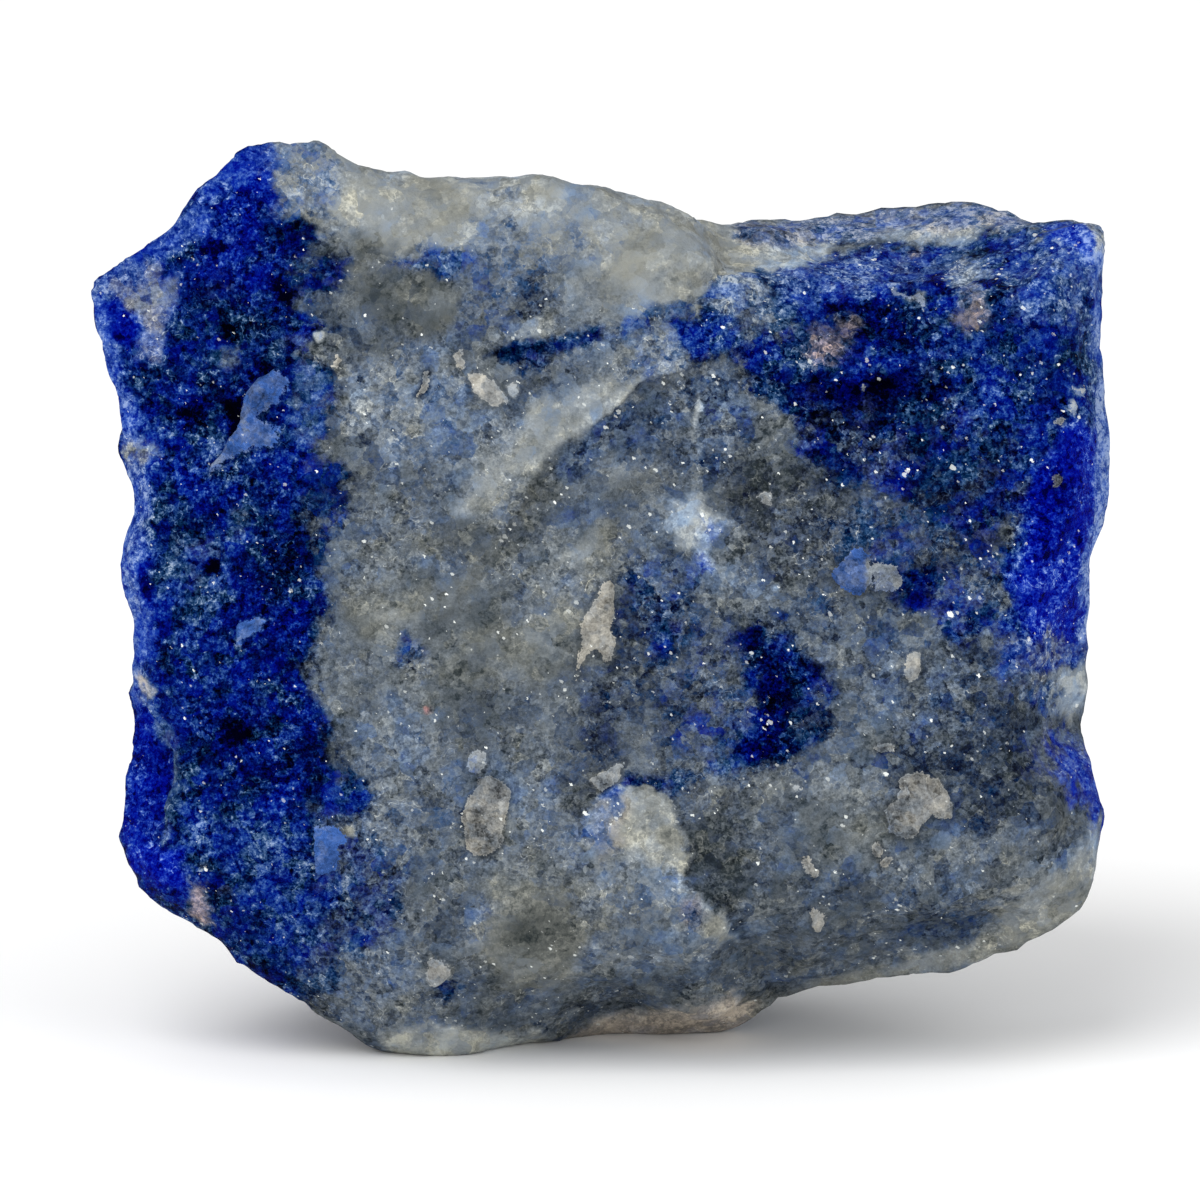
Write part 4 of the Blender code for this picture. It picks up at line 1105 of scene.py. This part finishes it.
def stone_material():
    n = Nodes("sodalite")
    place = n.stored("grain_place", "Vector")
    blue, tone, warm, pink, vivid, frost, glint, flake, tint = (n.stored(name) for name in FIELDS)
    rising = n.stretched(place, 30.0, 1.4)
    speck = n.noise(place, 3.5, 2.5, 1.0)
    blotch = n.noise(rising, 0.9, 2.0, 0.7)
    cloud = n.noise(place, 0.35, 1.0, 0.5)
    hue = n.noise(rising, 0.7, 2.0, 0.7)
    patch_tone, patch_blue, patch_hue = n.grains(n.bent(place, PATCHES, 3.0, 0.7), PATCHES)
    grain_tone, grain_blue, grain_hue = n.grains(n.bent(place, 7.0, 2.0, 0.16), GRAINS)

    # Fine detail: white threads, a net of crystal seams in the blue, crumbs and scales
    threads = n.step(n.math("ABSOLUTE", n.noise(place, 2.1, 1.0, 0.5)), 0.02, 0.0)
    shown = n.weighted(hue, (patch_tone, 0.12), (grain_hue, 0.12))
    threads = n.math("MULTIPLY", threads, n.step(shown, 0.08, 0.18))
    seams = n.cells(n.bent(place, 4.0, 2.0, 0.3), 2.4, feature="DISTANCE_TO_EDGE")
    net = n.math("MULTIPLY", n.step(seams, 0.14, 0.0), n.step(n.math("ADD", blotch, speck), -0.05, 0.15))
    net = n.math("MULTIPLY", net, blue)
    crumbs = n.step(n.noise(place, 8.0, 1.0, 0.5), -0.03, 0.03)
    scales = n.step(n.noise(place, 3.0, 2.5, 0.7), -0.02, 0.02)
    fine = n.weighted(-0.11, (speck, 0.8), (grain_tone, 0.07), (n.math("POWER", grain_tone, 5.0), 0.08),
                      (threads, 0.25), (net, 0.10), (crumbs, 0.09), (scales, 0.09))

    # Lightness, with less contrast where the stone is milky and more where it is blue
    strength = n.weighted(0.56, (frost, -0.38), (blue, 0.84), (cloud, 0.9), (patch_hue, 0.25))
    wide = n.weighted(0.0, (blotch, 0.45), (cloud, 0.3))
    wide = n.math("MULTIPLY", wide, n.weighted(1.0, (frost, -0.4)))
    light = n.weighted(0.49, (tone, 0.5), (n.math("MULTIPLY", fine, strength), 1.0), (patch_tone, 0.05),
                       (wide, 1.0))

    # Where blue takes the place of grey, in specks where the field is between the two
    loose = n.weighted(0.25, (n.math("MULTIPLY", blue, n.math("SUBTRACT", 1.0, blue)), 3.0))
    stir = n.weighted(0.38, (blotch, 1.2), (speck, 1.4), (patch_blue, 0.2), (grain_blue, 0.12),
                      (light, -0.6))
    blue_share = n.step(n.math("MULTIPLY_ADD", stir, loose, blue), 0.0, 1.0)

    # Colours of the stone
    warmth = n.weighted(warm, (hue, 2.8), (patch_hue, 0.3), (grain_hue, 0.15))
    grey_colour = n.mix(n.step(warmth, 0.0, 1.3), n.ramp(light, GREY_STONE), WARM, "MULTIPLY")
    grey_colour = n.mix(n.step(warmth, 0.25, -0.6), grey_colour, COOL, "MULTIPLY")
    teal = n.weighted(1.3, (blue, -0.8), (hue, 1.8), (patch_hue, 0.25), (grain_hue, 0.15))
    deep_colour = n.mix(n.step(teal, 0.0, 1.0), n.ramp(light, BLUE_STONE), n.ramp(light, TEAL_STONE))
    # Painted glow where light comes through thin edges, as much as vivid says.
    blue_colour = n.mix(vivid, deep_colour, n.ramp(light, GLOWING_STONE))
    colour = n.mix(blue_share, grey_colour, blue_colour)
    colour = n.mix(n.math("MULTIPLY", pink, 0.75), colour, n.mix(1.0, colour, PINK, "MULTIPLY"))

    # Flakes, with a painted shadow line around them and a painted highlight inside their edge
    edge = n.weighted(flake, (speck, 0.4), (grain_tone, 0.015))
    # Painted shadow: a dark line just outside each flake's edge.
    colour = n.mix(n.step(edge, -0.22, -0.02, 0.35), colour, BLACK)
    flake_tint = n.weighted(0.5, (tint, 0.5), (blotch, 0.9), (patch_hue, 0.1), (grain_hue, 0.1))
    # The flake's lightness, with a painted highlight along the inside of its edge.
    flake_light = n.weighted(0.36, (tone, 0.8), (fine, 1.1), (patch_tone, 0.12), (blotch, 1.0),
                             (n.step(edge, 0.07, 0.02), 0.3))
    shade = n.between(flake_light, *FLAKE_SHADES)
    flake_colour = n.mix(1.0, n.ramp(flake_tint, FLAKE_STONE), shade, "MULTIPLY")
    colour = n.mix(n.step(edge, -0.02, 0.02, 0.92), colour, flake_colour)

    # Glints, painted highlights mixed into the colour
    ragged = n.stretched(n.bent(place, 12.0, 2.0, 0.14), -40.0, 1.5)
    amount = n.math("MULTIPLY", n.weighted(0.25, (glint, 1.5)), n.weighted(1.0, (blotch, 4.0)))
    shine = n.math("MAXIMUM", *(glints(n, ragged, amount, *kind) for kind in (SMALL_GLINTS, LARGE_GLINTS)))
    colour = n.mix(shine, colour, linear(*GLINT_COLOUR))

    bump = n.add("ShaderNodeBump", {"Strength": 1.0, "Distance": BUMP_HEIGHT, "Height": speck})
    n.give(n.shader.inputs["Base Color"], colour)
    n.give(n.shader.inputs["Roughness"], n.weighted(0.58, (shine, -0.3), (speck, 0.25)))
    n.give(n.shader.inputs["Specular IOR Level"], SPECULAR)
    n.give(n.shader.inputs["Normal"], bump)
    return n.material


def floor_material():
    n = Nodes("floor")
    n.give(n.shader.inputs["Base Color"], FLOOR_COLOUR)
    n.give(n.shader.inputs["Roughness"], FLOOR_ROUGHNESS)
    return n.material


# The scene

def placed(name, data):
    obj = bpy.data.objects.new(name, data)
    bpy.context.scene.collection.objects.link(obj)
    return obj


def stone():
    points, faces, fields = stone_shape()
    mesh = bpy.data.meshes.new("sodalite_stone")
    mesh.from_pydata((points * MM).tolist(), [], faces.tolist())
    mesh.shade_smooth()
    for name, values in fields.items():
        mesh.attributes.new(name, "FLOAT", "POINT").data.foreach_set("value", values.astype(np.float32))
    grain = mesh.attributes.new("grain_place", "FLOAT_VECTOR", "POINT")
    grain.data.foreach_set("vector", grain_place(points).astype(np.float32).reshape(-1))
    mesh.materials.append(stone_material())
    piece = placed("sodalite_stone", mesh)
    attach(piece, "root")
    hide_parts("sodalite")


def camera():
    data = bpy.data.cameras.new("camera")
    data.sensor_width = SENSOR
    data.lens = SENSOR * CAMERA_AWAY / (PHOTO_SIDE * PIXEL)
    data.clip_end = SIGHT
    obj = placed("camera", data)
    obj.location = (np.array(AIM) - CAMERA_AWAY * face_axes()[2]) * MM
    obj.rotation_euler = (math.pi / 2 - LEAN, 0, 0)
    bpy.context.scene.camera = obj


def lamp(name, place, wide, power):
    """A round lamp that shines on the stone."""
    data = bpy.data.lights.new(name, "AREA")
    data.shape = "DISK"
    data.size = wide
    data.energy = power
    obj = placed(name, data)
    obj.location = place
    obj.rotation_euler = (Vector(AIM) * MM - Vector(place)).to_track_quat("-Z", "Y").to_euler()


def studio():
    scene = bpy.context.scene
    scene.view_settings.view_transform = "Standard"
    scene.world = bpy.data.worlds.new("studio")
    scene.world.use_nodes = True
    background = scene.world.node_tree.nodes["Background"]
    background.inputs["Color"].default_value = (1, 1, 1, 1)
    background.inputs["Strength"].default_value = SKY
    for name, settings in LAMPS.items():
        lamp(name, *settings)
    bpy.ops.mesh.primitive_circle_add(vertices=FLOOR_SIDES, radius=FLOOR_RADIUS, fill_type="NGON")
    floor = bpy.context.object
    floor.name = "floor"
    floor.data.materials.append(floor_material())


studio()
camera()
stone()
